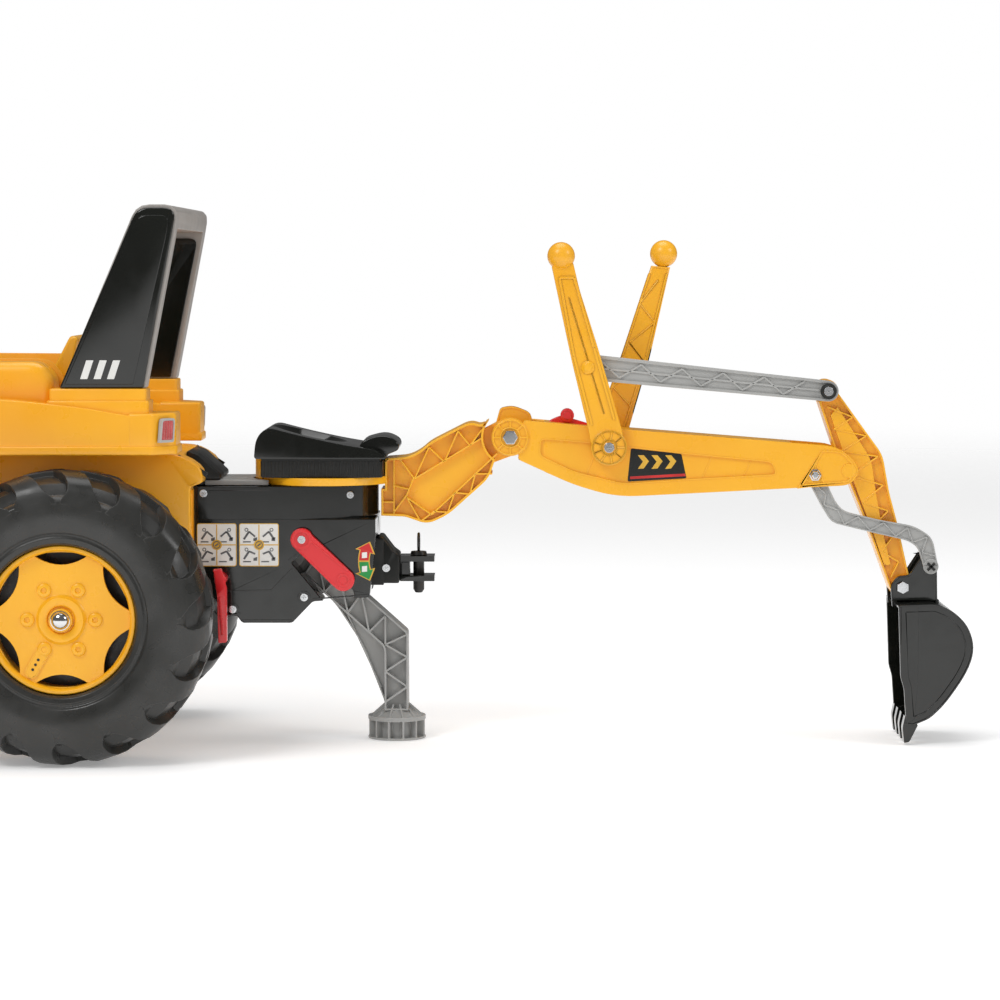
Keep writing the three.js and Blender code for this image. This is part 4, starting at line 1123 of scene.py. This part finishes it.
def labels():
    paper = bmesh.new()
    prints = bmesh.new()
    gold = bmesh.new()
    for x0, x1 in ((134, 180), (183, 229)):
        slab(paper, [(x0, 209, 3), (x1, 209, 3), (x1, 259, 3), (x0, 259, 3)], -70.4, -69.9)
        control_label(prints, gold, x0, 209.5)
        edge = rounded([(x0, 209, 3), (x1, 209, 3), (x1, 259, 3), (x0, 259, 3)])
        plate(gold, edge, [shrunk(edge, 0.8)], -70.6, -70.2)
        middle = ((x0 + x1) / 2, 234)
        drum(gold, middle, 6, -70.85, -70.4, 32)
        plate(prints, circle(*middle, 4.4, 24), [circle(*middle, 3.4, 24)], -71.0, -70.8)
        bar(prints, (middle[0] - 2, 232.5), (middle[0] + 2, 235.5), 0.8, -71.0, -70.8)
    piece("label_paper", paper, "tractor", LABEL_WHITE, bevel=0.1)
    piece("label_pictures", prints, "tractor", LABEL_PRINT, bevel=0)
    piece("label_dividers", gold, "tractor", LABEL_GOLD, bevel=0)
    centre = (368, 215)
    for name, turn, finish in (("up", -1, LABEL_RED), ("down", 1, LABEL_GREEN)):
        border = bmesh.new()
        field = bmesh.new()
        for bm, grow, y0 in ((border, 1.2, -70.3), (field, 0, -70.55)):
            outer = arc_points(centre, 46 + grow, 180 + turn * (1.2 - grow), 180 + turn * (18 + grow), 8)
            inner = arc_points(centre, 35 - grow, 180 + turn * (18 + grow), 180 + turn * (1.2 - grow), 8)
            tip = arc_points(centre, 40.5, 180 + turn * (32 + 2 * grow), 180 + turn * 33, 1)[0]
            wings = [arc_points(centre, 50 + 2 * grow, 180 + turn * (17 - grow), 180, 1)[0],
                     arc_points(centre, 31 - 2 * grow, 180 + turn * (17 - grow), 180, 1)[0]]
            slab(bm, [*outer, *inner], y0, -69.9)
            slab(bm, [wings[0], tip, wings[1]], y0 - 0.02, -69.9)
        piece(f"label_border_{name}", border, "tractor", LABEL_GOLD, bevel=0)
        piece(f"label_field_{name}", field, "tractor", finish, bevel=0)
    arrows = bmesh.new()
    for low in (218.5, 202.5):
        slab(arrows, [(325.2, low), (331.2, low + 0.6), (331.2, low + 7.2), (325.2, low + 6.6)], -70.8, -70.4)
    piece("label_arrows", arrows, "tractor", LABEL_WHITE, bevel=0)


LOCK_HUB = (256, 241)


def red_latches():
    bm = bmesh.new()
    slab(bm, [*arc_points(LOCK_HUB, 13, 22, 218, 12), *arc_points((304, 194), 13, 228, 395, 10)], -82, -71)
    piece("leg_lock_handle", bm, "lock_lever_set", RED, ["leg_lock_lever"], bevel=1.2, segments=3)
    details = bmesh.new()
    turned(details, LOCK_HUB, [(8.4, -81), (8.4, -83.2), (11.4, -83.2), (11.4, -81), (8.4, -81)], 36)
    turned(details, (304, 194), [(5.4, -81), (5.4, -83), (7.8, -83), (7.8, -81), (5.4, -81)], 32)
    for a, b in (((266, 240), (309, 205)), ((253, 228), (294, 187))):
        bar(details, a, b, 0.9, -83, -81)
    piece("leg_lock_ridges", details, "lock_lever_set", RED, bevel=0.4)
    head = bmesh.new()
    screw(head, LOCK_HUB, -82, 4.6, -1, 1.8)
    piece("leg_lock_screw", head, "lock_lever_set", CHROME, bevel=0.2)
    latch = copy_of("coupling_latch")
    bar(latch, (163, 176), (166, 132), 1.6, -104.8, -103.6)
    piece("coupling_handle", latch, "coupling_latch_set", RED, ["coupling_latch"], bevel=1.0)
    knob = copy_of("boom_latch")
    for y0, y1 in ((-9.8, -8.8), (8.8, 9.8)):
        turned(knob, (564, 381.5), [(0, y0), (5, y0), (5, y1), (0, y1)], 24)
    piece("boom_latch_knob", knob, "boom_latch_set", RED, ["boom_latch"], bevel=0.9)


# ---- stabiliser leg and hitch -------------------------------------------------------------


LEG_SIDE = [(349, 34), (349, 109, 6), (248, 200, 6), (240, 218, 8), (258, 232, 6), (377, 126, 4), (377, 34)]
LEG_GUSSET = [(262, 190), (292, 158, 10), (322, 112, 16), (344, 56, 10), (350, 40), (350, 110)]
FOOT_RIBS = 12


def leg():
    bm = bmesh.new()
    stem = [(350, 44), (376, 62), (350, 80), (376, 97), (350, 112), (376, 124)]
    slope = [(350, 112), (350, 146), (331, 127), (322, 172), (306, 150), (296, 194), (279, 174), (270, 217), (256, 196)]
    casting(bm, rounded(LEG_SIDE), -20, 20, 2.2, 10, zigzag(stem) + zigzag(slope), 1.1)
    gusset = rounded(LEG_GUSSET)
    plate(bm, gusset, [], -3, 3)
    plate(bm, gusset, [shrunk(gusset, 1.8)], -9, 9)
    bar(bm, (300, 158), (345, 60), 0.9, -8, 8)
    for y0, y1 in ((-20, -9), (9, 20)):
        turned(bm, (242, 218), [(0, y0), (14, y0), (14, y1), (0, y1), (0, y0)], 32)
    drum(bm, (242, 218), 6, -35, 35, 20)
    post(bm, 363, 0, 34, 0, 2.4, 48)
    post(bm, 363, 0, 24, 2, 22, 48)
    post(bm, 363, 0, 34, 22, 27, 48)
    post(bm, 363, 0, 30, 26.5, 36, 48, 17)
    for k in range(FOOT_RIBS):
        rib = bmesh.new()
        layer(rib, [(10, -1.1), (33.6, -1.1), (33.6, 1.1), (10, 1.1)], 2, 23)
        slab(rib, [(14, 26), (32, 26), (15, 41), (14, 41)], -1.1, 1.1)
        place = Matrix.Translation((363, 0, 0)) @ Matrix.Rotation(2 * math.pi * (k + 0.5) / FOOT_RIBS, 4, "Z")
        bmesh.ops.transform(rib, matrix=place, verts=rib.verts)
        absorb(bm, rib)
    piece("support_leg", bm, "leg_set", GREY, ["stabiliser_leg"], bevel=0.35)


def hitch():
    bracket = copy_of("hitch_bracket")
    for y0, y1 in ((-35.8, -24), (24, 35.8)):
        slab(bracket, [(328, 184), (328, 238), (349, 238), (349, 184)], y0, y1)
    bolt = bmesh.new()
    for out in (-1, 1):
        screw(bolt, (352, 204), out * 36, 4.6, out, 1.4)
    piece("hitch_screws", bolt, "tractor", CHROME, bevel=0.2)
    piece("hitch_block", bracket, "tractor", SATIN_BLACK, ["hitch_bracket"], bevel=0.9)
    jaw = copy_of("hitch_jaw")
    for y in (-14.6, 14.6):
        block(jaw, 369, 378, y - 0.8, y + 0.8, 194, 209.6)
    piece("hitch_fork", jaw, "tractor", GLOSS_BLACK, ["hitch_jaw"], bevel=0.9)
    pin = bmesh.new()
    post(pin, 389, 0, 6.5, 176, 219, 32)
    post(pin, 389, 0, 4, 172, 176, 32, 6.5)
    post(pin, 389, 0, 10, 216.9, 221, 32, 9)
    ring = bmesh.ops.create_circle(pin, segments=12, radius=1.6)["verts"]
    bmesh.ops.translate(pin, verts=ring, vec=(10, 0, 0))
    loose = list({e for v in ring for e in v.link_edges})
    bmesh.ops.rotate(pin, verts=ring, cent=(10, 0, 0), matrix=Matrix.Rotation(math.pi / 2, 3, "X"))
    bmesh.ops.spin(pin, geom=ring + loose, cent=(0, 0, 0), axis=(0, 0, 1),
                   angle=2 * math.pi, steps=40, use_merge=True)
    turned_verts = [v for v in pin.verts if v.co.z < 20]
    bmesh.ops.rotate(pin, verts=turned_verts, cent=(0, 0, 0), matrix=Matrix.Rotation(math.pi / 2, 3, "Y"))
    bmesh.ops.translate(pin, verts=turned_verts, vec=(389, 0, 231.5))
    piece("hitch_pin_ring", pin, "hitch_pin_set", STEEL, ["hitch_pin"], bevel=0.4)


# ---- slewing seat and swing arm -----------------------------------------------------------


SEAT_SIDE = [
    (201, 334, 4), (203, 358, 12), (216, 371, 10), (254, 361, 20), (300, 351, 20), (344, 344, 12), (355, 334, 4),
]
SEAT_LIP = [(318, 338), (324, 354, 8), (350, 361, 12), (367, 353, 8), (368, 343, 5), (346, 334, 4)]


def scoop_seat():
    disc = copy_of("swing_plate")
    for k in range(24):
        turn = math.radians(15 * k)
        if -0.3 < math.cos(turn) < 1.01:
            post(disc, SLEW_X + 77 * math.cos(turn), 77 * math.sin(turn), 1.6, 303, 310.5, 10)
    piece("slew_disc", disc, "slew_set", YELLOW, ["swing_plate"], bevel=1.0)
    bm = bmesh.new()
    shell = bmesh.new()
    slab(shell, SEAT_SIDE, -78, 78)
    absorb(bm, soften(shell, 7, 5))
    seat = piece("scoop_seat_shell", bm, "slew_set", GLOSS_BLACK, ["scoop_seat"], bevel=0)
    dish = bmesh.new()
    place = Matrix.Translation((270, 0, 397)) @ Matrix.Diagonal((62, 70, 57, 1))
    bmesh.ops.create_uvsphere(dish, u_segments=72, v_segments=36, radius=1, matrix=place)
    carve(seat, dish)
    lip = bmesh.new()
    slab(lip, SEAT_LIP, -46, 46)
    lip_shell = bmesh.new()
    absorb(lip_shell, soften(lip, 5, 4))
    piece("scoop_seat_lip", lip_shell, "slew_set", GLOSS_BLACK, bevel=0)
    skirt = bmesh.new()
    slab(skirt, [(209, 312, 2), (209, 336), (346, 336), (349, 312, 2)], -70, 70)
    for k in range(33):
        x = 212.5 + k * 4.15
        for y0, y1 in ((-71, -69.8), (69.8, 71)):
            slab(skirt, [(x, 312.4), (x + 2, 312.4), (x + 2, 331), (x, 331)], y0, y1)
    for k in range(32):
        y = -66 + k * 4.2
        block(skirt, 207.9, 209.4, y, y + 2, 312.4, 331)
        block(skirt, 347, 349.4, y, y + 2, 312.4, 331)
    piece("scoop_seat_skirt", skirt, "slew_set", SATIN_BLACK, bevel=0.6)


def arc_points(centre, radius, first, last, steps):
    """Points round part of a circle, from one angle to another, in degrees."""
    turns = (math.radians(first + (last - first) * k / steps) for k in range(steps + 1))
    return [(centre[0] + radius * math.cos(t), centre[1] + radius * math.sin(t)) for t in turns]


SWING_ARM_TOP = [(346, 265), (346, 296.5), (350.5, 296.5), (350.5, 332, 3), (378, 334, 8), (392, 341, 8),
                 (403, 351, 8), (450, 375, 10), (463, 371, 4)]
SWING_ARM_LOW = [(472, 309, 10), (424, 266, 10), (400, 255, 10), (374, 264, 4)]
ARM_FIN = [(480, 372), (485, 390, 4), (500, 393, 8), (520, 385, 6), (523, 376, 3), (505, 362), (485, 362)]


def swing_arm():
    bm = bmesh.new()
    body = rounded(SWING_ARM_TOP + arc_points(BOOM_PIVOT, 31.6, 142, 236, 12) + SWING_ARM_LOW)
    upper = [(368, 331), (385, 308), (402, 345), (420, 328), (436, 364), (450, 347), (464, 366)]
    lower = [(360, 268), (375, 288), (392, 258), (408, 270), (424, 269), (432, 292), (450, 290), (456, 314), (476, 314)]
    spines = [(385, 308), (464, 356), (384, 309), (375, 287), (405, 266), (482, 338)]
    ribs = zigzag(upper) + zigzag(lower) + zigzag(spines[:2]) + zigzag(spines[2:])
    ribs += [((361, 266), (361, 331)), ((347, 281), (361, 281)), ((361, 300), (378, 296))]
    casting(bm, body, -31, 31, 2.6, 22, ribs, 0.9)
    neck = pill((470, 345), BOOM_PIVOT, 20, 22)
    plate(bm, neck, [circle(*BOOM_PIVOT, 6.5, 24)], -15, 15)
    slab(bm, ARM_FIN, -8, 8)
    fin = rounded(ARM_FIN)
    plate(bm, fin, [shrunk(fin, 2)], -9.4, 9.4)
    piece("swing_arm_casting", bm, "slew_set", YELLOW, ["swing_arm"], bevel=0.5)


# ---- boom, levers and rod -----------------------------------------------------------------


def spoked_hub(bm, centre, y0, y1, inner, outer, spokes):
    plate(bm, circle(*centre, outer, 40), [circle(*centre, outer - 2, 40)], y0, y1)
    plate(bm, circle(*centre, inner + 2, 32), [circle(*centre, inner, 32)], y0, y1)
    for k in range(spokes):
        turn = 2 * math.pi * k / spokes
        way = Vector((math.cos(turn), math.sin(turn)))
        start = Vector(centre) + way * (inner + 1)
        end = Vector(centre) + way * (outer - 1)
        bar(bm, tuple(start), tuple(end), 1.1, y0, y1)


BOOM_SIDE = [
    (512, 377, 4), (634, 366, 6), (880, 346.5, 16), (907, 322, 18), (896, 301, 12), (720, 292, 8),
    (620, 287, 26), (570, 302, 14), (506, 331, 3),
]
BOOM_PANEL = [
    (533, 355, 6), (590, 350.5, 8), (707, 337, 8), (802, 328, 6), (808, 314, 6), (700, 308, 8),
    (630, 303, 12), (572, 317, 10), (532, 336, 6),
]
BOOM_CORE = [
    (537, 374.7), (634, 366, 6), (826, 350.7), (826, 297.4), (720, 292, 8), (620, 287, 26), (570, 302, 14),
    (537, 316.5),
]
BOOM_END = [(836, 300, 2), (861, 342, 3), (884, 341, 8), (902, 322, 12), (893, 304.5, 6)]


def boom():
    for side in ("near", "far"):
        bm = bmesh.new()
        shape = rounded(BOOM_SIDE)
        panel = rounded(BOOM_PANEL)
        holes = [circle(*spot, 5.5, 20) for spot in (DIPPER_PIVOT, LINK_PIVOT)]
        plate(bm, shape, [panel, circle(*BOOM_PIVOT, 20, 40), *holes], -33, -30)
        plate(bm, shrunk(panel, -1), [], -30.4, -28)
        core = bmesh.new()
        slab(core, BOOM_CORE, -30.6, -0.2)
        for vertex in core.verts:
            vertex.co.y = max(vertex.co.y, -30.6)
        absorb(bm, core)
        root = [(513, 376.5), (540, 374), (540, 316), (507, 331.5)]
        slab(bm, root, -29.8, -15.7)
        plate(bm, circle(*BOOM_PIVOT, 22, 48), [circle(*BOOM_PIVOT, 6.5, 24)], -34.8, -15.7)
        end = rounded(BOOM_END)
        trim = bmesh.new()
        plate(trim, end, [shrunk(end, 1.8)], -34.2, -32)
        panel_edge = shrunk(panel, -1.4)
        plate(trim, panel_edge, [shrunk(panel_edge, 1.4)], -33.7, -32)
        peak = rounded([(832, 297), (853, 331, 6), (866, 301)])
        plate(trim, peak, [shrunk(peak, 1.6)], -34, -32)
        for a, b in (((853, 331), (853, 320)), ((840, 304), (845, 308)), ((864, 304), (860, 308))):
            bar(trim, a, b, 0.8, -33.8, -32)
        for a, b in (((600, 348), (586, 313)), ((732, 334), (722, 310)), ((778, 329), (770, 313))):
            bar(trim, a, b, 0.8, -31.2, -29.4)
        if side == "far":
            mirror_across(trim)
        piece(f"boom_trim_{side}", trim, "boom_set", YELLOW, bevel=0.3)
        spoked_hub(bm, BOOM_PIVOT, -36.6, -34.6, 10.5, 21, 8)
        if side == "far":
            mirror_across(bm)
        piece(f"boom_shell_{side}", bm, "boom_set", YELLOW, [f"boom_{side}"], bevel=0.8)
        plaque = bmesh.new()
        slab(plaque, [(638, 344, 2), (697, 337.5, 2), (703, 309, 2), (634, 305, 3)], *sided(side, -30.9, -30.2))
        piece(f"boom_plaque_{side}", plaque, "boom_set", GLOSS_BLACK, bevel=0.2)
        stripe = bmesh.new()
        slab(stripe, [(637, 311), (701, 314.5), (702, 311.5), (637, 308)], *sided(side, -31.2, -30.8))
        piece(f"boom_stripe_{side}", stripe, "boom_set", LABEL_RED, bevel=0)
        chevrons = bmesh.new()
        for k in range(3):
            x = 646 + k * 16
            slab(chevrons, [(x, 320), (x + 7, 320.5), (x + 13, 329), (x + 7, 336), (x, 336), (x + 6, 328.5)],
                 *sided(side, -31.2, -30.8))
        piece(f"boom_chevrons_{side}", chevrons, "boom_set", LABEL_GOLD, bevel=0)
    bolts = copy_of("boom_pivot_bolt")
    piece("boom_pivot_pin", bolts, "slew_set", CHROME, ["boom_pivot_bolt"], bevel=0.8)
    ends = bmesh.new()
    for out, y in ((-1, -32), (1, 32)):
        low, high = sorted((y, y + out * 2.1))
        drum(ends, DIPPER_PIVOT, 8.5, low, high, 40)
    piece("dipper_pivot_cap", ends, "boom_set", YELLOW, bevel=0.8)


NEAR_LEVER = [
    (545, 556), (569, 444, 10), (588, 366, 4), (593, 340), (631, 340), (627, 366, 6), (599, 461, 10),
    (577, 530, 8), (570, 560),
]
FAR_LEVER = [
    (664, 557), (648, 506, 10), (628, 449, 10), (593, 346), (631, 340), (640, 372, 10), (662, 448, 10),
    (686, 555),
]


def levers():
    near = bmesh.new()
    slab(near, NEAR_LEVER, -51, -37)
    turned(near, LEVER_HUB, [(0, -52), (21, -52), (21, -33.3), (0, -33.3), (0, -52)], 40)
    drum(near, LEVER_HUB, 5, -38, -6, 16)
    drum(near, LEVER_PIN, 5, -50, -24.5, 16)
    for a, b in (((554, 543), (571, 452)), ((571, 452), (592, 372)), ((571, 543), (594, 462)),
                 ((594, 462), (618, 378)), ((554, 543), (571, 543))):
        bar(near, a, b, 1.7, -52.6, -50.6)
    bar(near, (565, 520), (606, 385), 1.0, -51.8, -50.6)
    spoked_hub(near, LEVER_HUB, -53.4, -51.6, 8, 20, 9)
    turned(near, LEVER_PIN, [(0, -56), (4.4, -56), (5, -55), (8, -52.6), (8, -50.8), (0, -50.8)], 28)
    place = Matrix.Translation((556, -44, 568)) @ Matrix.Diagonal((15.9, 15.9, 16.1, 1))
    bmesh.ops.create_uvsphere(near, u_segments=48, v_segments=24, radius=1.005, matrix=place)
    piece("control_lever_near", near, "lever_set", YELLOW, ["lever_near"], bevel=1.1)
    far = bmesh.new()
    path = rounded(FAR_LEVER)
    plate(far, path, [], 33.3, 47)
    plate(far, path, [shrunk(path, 2.4)], 33.3, 49)
    turned(far, LEVER_HUB, [(0, 33.3), (21, 33.3), (21, 51), (0, 51), (0, 33.3)], 40)
    drum(far, LEVER_HUB, 5, 6, 38, 16)
    for y0, y1 in ((48.6, 50.4), (32.6, 33.9)):
        for a, b in (((662, 548), (630, 450)), ((630, 450), (600, 362)), ((682, 548), (658, 450)),
                     ((658, 450), (632, 366))):
            bar(far, a, b, 1.4, y0, y1)
        zig = [(672, 540), (650, 512), (668, 490), (638, 466), (658, 440), (618, 414), (640, 390)]
        for a, b in zip(zig, zig[1:]):
            bar(far, a, b, 1.1, y0, y1)
    spoked_hub(far, LEVER_HUB, 50.6, 52.4, 8, 20, 9)
    place = Matrix.Translation((678.5, 41, 571)) @ Matrix.Diagonal((16, 16, 16, 1))
    bmesh.ops.create_uvsphere(far, u_segments=48, v_segments=24, radius=1.005, matrix=place)
    piece("control_lever_far", far, "boom_set", YELLOW, ["lever_far"], bevel=1.1)
    screws = bmesh.new()
    screw(screws, LEVER_HUB, -52, 6, -1, 2.4)
    piece("lever_screw_near", screws, "lever_set", CHROME, bevel=0.4)
    other = bmesh.new()
    screw(other, LEVER_HUB, 51, 6, 1, 2.4)
    piece("lever_screw_far", other, "boom_set", CHROME, bevel=0.4)


ROD_RIB_PITCH = 24


def rod():
    bm = bmesh.new()
    start, end = Vector(LEVER_PIN), Vector(DIPPER_PIN)
    way = (end - start).normalized()
    side = Vector((-way.y, way.x))
    length = (end - start).length

    def spot(along, across):
        return tuple(start + way * along + side * across)

    turn = math.atan2(way.y, way.x)
    left = [start + Matrix.Rotation(turn, 2) @ Vector((15 * math.cos(t), 15 * math.sin(t)))
            for t in (math.pi / 2 + math.pi * i / 20 for i in range(21))]
    right = [end + Matrix.Rotation(turn, 2) @ Vector((12 * math.cos(t), 12 * math.sin(t)))
             for t in (-math.pi / 2 + math.pi * i / 20 for i in range(21))]
    shape = left + right
    middle = (start + end) / 2
    inner = [middle + Vector((p - middle).dot(way) * way * 0.975 + (p - middle).dot(side) * side * 0.76) for p in shape]
    holes = [circle(*LEVER_PIN, 5.5, 24), circle(*DIPPER_PIN, 5.5, 24)]
    plate(bm, shape, holes, -33.2, -28.2)
    plate(bm, shape, [inner], -36.7, -24.5)
    for centre, radius in ((LEVER_PIN, 11.5), (DIPPER_PIN, 9.5)):
        plate(bm, circle(*centre, radius, 32), [circle(*centre, 5.5, 24)], -36.7, -24.5)
    bar(bm, spot(12, 0), spot(length - 10, 0), 1.1, -35.6, -25.6)
    count = int((length - 24) / ROD_RIB_PITCH)
    for k in range(count):
        a = 14 + k * ROD_RIB_PITCH
        low, high = (-9, 9) if k % 2 else (9, -9)
        bar(bm, spot(a, low), spot(a + ROD_RIB_PITCH, high), 1.0, -35.6, -25.6)
    piece("lever_link_rod", bm, "rod_set", GREY, ["lever_rod"], bevel=0.5)
    rings = bmesh.new()
    heads = bmesh.new()
    turned(rings, DIPPER_PIN, [(6.5, -37), (6.5, -40.8), (9.5, -40.8), (9.5, -37), (6.5, -37)], 32)
    screw(heads, DIPPER_PIN, -40.4, 5.4, -1, 1.8)
    piece("rod_end_ring", rings, "rod_set", SATIN_BLACK, bevel=0.4)
    piece("rod_end_screw", heads, "rod_set", CHROME, bevel=0.2)


# ---- dipper, link and bucket --------------------------------------------------------------


DIPPER_SIDE = [
    (858, 398), (876, 345, 8), (895, 302, 8), (918, 246, 8), (944, 176), (966, 190), (950, 259, 8),
    (941, 292, 8), (933, 336, 10), (906, 373, 12), (880, 409),
]
DIPPER_CORE = [(880, 392), (897, 366, 6), (920, 330, 10), (926, 290, 8), (934, 246, 8), (944, 206, 3),
               (936, 206, 3), (922, 246, 8), (904, 292, 8), (888, 336, 8), (872, 382)]


def dipper():
    bm = bmesh.new()
    left = [(868, 392), (898, 380), (876, 366), (914, 358), (884, 340), (928, 334), (896, 312), (934, 300),
            (910, 280), (940, 270), (922, 250), (946, 240), (933, 222), (953, 210), (944, 192)]
    casting(bm, rounded(DIPPER_SIDE), -20, 20, 2.2, 13, zigzag(left), 0.9)
    core = rounded(DIPPER_CORE)
    plate(bm, core, [], -18.4, 18.4)
    for centre, radius in ((DIPPER_PIN, 13), (BUCKET_HINGE, 13), (DIPPER_PIVOT, 12)):
        plate(bm, circle(*centre, radius, 40), [circle(*centre, 5.4, 20)], -20, 20)
    drum(bm, DIPPER_PIN, 8, -24.2, -19, 24)
    drum(bm, DIPPER_PIN, 5, -40.5, -19, 20)
    drum(bm, DIPPER_PIVOT, 5, -34, 34, 20)
    piece("dipper_casting", bm, "dipper_set", YELLOW, ["dipper_arm"], bevel=0.5)
    washer = bmesh.new()
    turned(washer, DIPPER_PIN, [(0, -42), (6, -42), (7.5, -40.4), (9, -39.6), (9, -37.2), (0, -37.2)], 28)
    piece("rod_end_cap", washer, "dipper_set", SATIN_BLACK, bevel=0.4)


LINK_SIDE = [
    (845, 306), (861, 276, 8), (873, 257, 8), (918, 246, 10), (962, 236, 8), (974, 228, 6), (980.5, 206),
    (998, 206), (991, 240, 10), (970, 253, 10), (930, 260, 8), (888, 270, 8), (878, 280, 8), (863, 312),
]


def bucket_link():
    bm = bmesh.new()
    path = rounded(LINK_SIDE)
    plate(bm, path, [shrunk(path, 1.7)], -29.7, -25.2)
    plate(bm, shrunk(path, 0.8), [], -27.2, -25.3)
    turned(bm, LINK_PIVOT, [(0, -29.7), (10, -29.7), (10, -25.2), (0, -25.2), (0, -29.7)], 32)
    turned(bm, LINK_END, [(0, -29.7), (9, -29.7), (9, -25.2), (0, -25.2), (0, -29.7)], 32)
    drum(bm, LINK_PIVOT, 5, -35, -22.2, 16)
    web = [(852, 304), (866, 290), (864, 278), (880, 272), (888, 255), (904, 264), (918, 248), (934, 257),
           (948, 241), (962, 251), (968, 234), (985, 240), (979, 222), (994, 218)]
    for a, b in zigzag(web):
        bar(bm, a, b, 0.8, -29.5, -26)
    piece("bucket_link_bar", bm, "link_set", GREY, ["bucket_link"], bevel=0.6)
    bolt = bmesh.new()
    turned(bolt, LINK_PIVOT, [(0, -38.4), (3.6, -38.4), (5.4, -37), (6, -35.2), (7.4, -35), (7.4, -34.2), (0, -34.2)], 6)
    piece("link_pivot_bolt", bolt, "link_set", CHROME, bevel=0.4)
    cross = bmesh.new()
    for k in range(2):
        way = Vector((math.cos(math.pi / 4 + k * math.pi / 2), math.sin(math.pi / 4 + k * math.pi / 2))) * 6
        bar(cross, tuple(Vector(LINK_END) - way), tuple(Vector(LINK_END) + way), 1.6, -33.2, -32)
    piece("link_end_cross", cross, "link_set", SATIN_BLACK, bevel=0.3)


BUCKET_SIDE = [
    (948, 163.5, 3), (992, 165, 6), (1013, 156, 12), (1030, 138, 16), (1037, 112, 18), (1028, 84, 22),
    (1002, 47, 14), (985, 31, 6), (966, 23), (958, 24), (955, 66, 3), (951, 80, 3),
]
BUCKET_SKIN = [
    (948, 163.5, 3), (992, 165, 6), (1013, 156, 12), (1030, 138, 16), (1037, 112, 18), (1028, 84, 22),
    (1002, 47, 14), (985, 31, 6), (964, 22), (962, 25.5), (983, 34.5, 6), (999, 49, 14), (1024.5, 86, 22),
    (1033.5, 112, 18), (1027, 136.5, 16), (1011.5, 153, 12), (991.5, 161.5, 6), (948, 160),
]
BUCKET_EAR = [
    (945, 158), (943, 184, 6), (952, 194, 4), (965, 195, 4), (974, 209, 5), (980, 218, 3), (984, 218, 3),
    (985, 211), (997, 211, 6), (998, 163), (1004, 158),
]
BUCKET_TOOTH = [(957, 34), (968, 27), (972, 23), (962, 3, 2), (956, 2, 1), (954, 20, 3)]


def digger_bucket():
    bm = bmesh.new()
    side_path = rounded(BUCKET_SIDE)
    for y0, y1 in ((-65, -61.5), (61.5, 65)):
        plate(bm, side_path, [], y0, y1)
    plate(bm, rounded(BUCKET_SKIN), [], -61.6, 61.6)
    for y0, y1 in ((-66.4, -64.8), (64.8, 66.4)):
        plate(bm, side_path, [shrunk(side_path, 2.2)], y0, y1)
        slab(bm, [(951, 162), (971, 163), (971, 72, 3), (967, 30), (959, 25), (956, 66), (952, 80)], y0, y1)
        inner = shrunk(side_path, 8)
        plate(bm, inner, [shrunk(inner, 1.5)], y0, y1)
    for y0, y1 in ((-24.9, -20.6), (20.6, 24.9)):
        slab(bm, BUCKET_EAR, y0, y1)
        ear = rounded(BUCKET_EAR)
        plate(bm, ear, [shrunk(ear, 2)], y0 - 0.6, y1 + 0.6)
    block(bm, 950, 1000, -24.9, 24.9, 160, 166)
    drum(bm, BUCKET_HINGE, 5, -28, 28, 20)
    pitch = 110 / 3
    for k in range(4):
        y = -55 + k * pitch
        slab(bm, BUCKET_TOOTH, y - 8, y + 8)
        slab(bm, [(962, 29), (984, 38), (980, 31), (964, 23)], y - 4, y + 4)
    spine = [(1009, 155), (1026.5, 138.5), (1032, 112), (1024, 85), (1000, 49.5)]
    for y in (-44, -22, 0, 22, 44):
        for a, b in zigzag(spine):
            bar(bm, a, b, 1.5, y - 1.2, y + 1.2)
    piece("bucket_shell", bm, "bucket_set", GLOSS_BLACK, ["digger_bucket"], bevel=0.6)
    bolts = bmesh.new()
    for out, y in ((-1, -28), (1, 28)):
        low, high = sorted((y, y + out * 2.6))
        drum(bolts, BUCKET_HINGE, 7.5, low, high, 6)
    piece("bucket_hinge_bolt", bolts, "bucket_set", CHROME, bevel=0.5)


# ---- put it together ----------------------------------------------------------------------

make_camera()
make_sky()
make_light("key", (-1.6, -2.6, 3.2), (0.1, 0, 0.2), 1.6, 58)
make_light("fill", (3.4, -1.5, 2.2), (0.2, 0, 0.2), 1.4, 24)
make_light("top", (0.3, 0.4, 3.4), (0.1, 0, 0.2), 2.6, 36)
make_floor()

wheel_pair("rear", REAR_WHEEL, "rear_axle_set", "rear_axle_set")
wheel_pair("front", FRONT_WHEEL, "front_wheel_near_set", "front_wheel_far_set")
hub_caps()
chassis()
pedals()
steering()
hull()
bonnet()
fenders()
driver_seat()
roll_hoop()
loader()
housing()
labels()
red_latches()
leg()
hitch()
scoop_seat()
swing_arm()
boom()
levers()
rod()
dipper()
bucket_link()
digger_bucket()
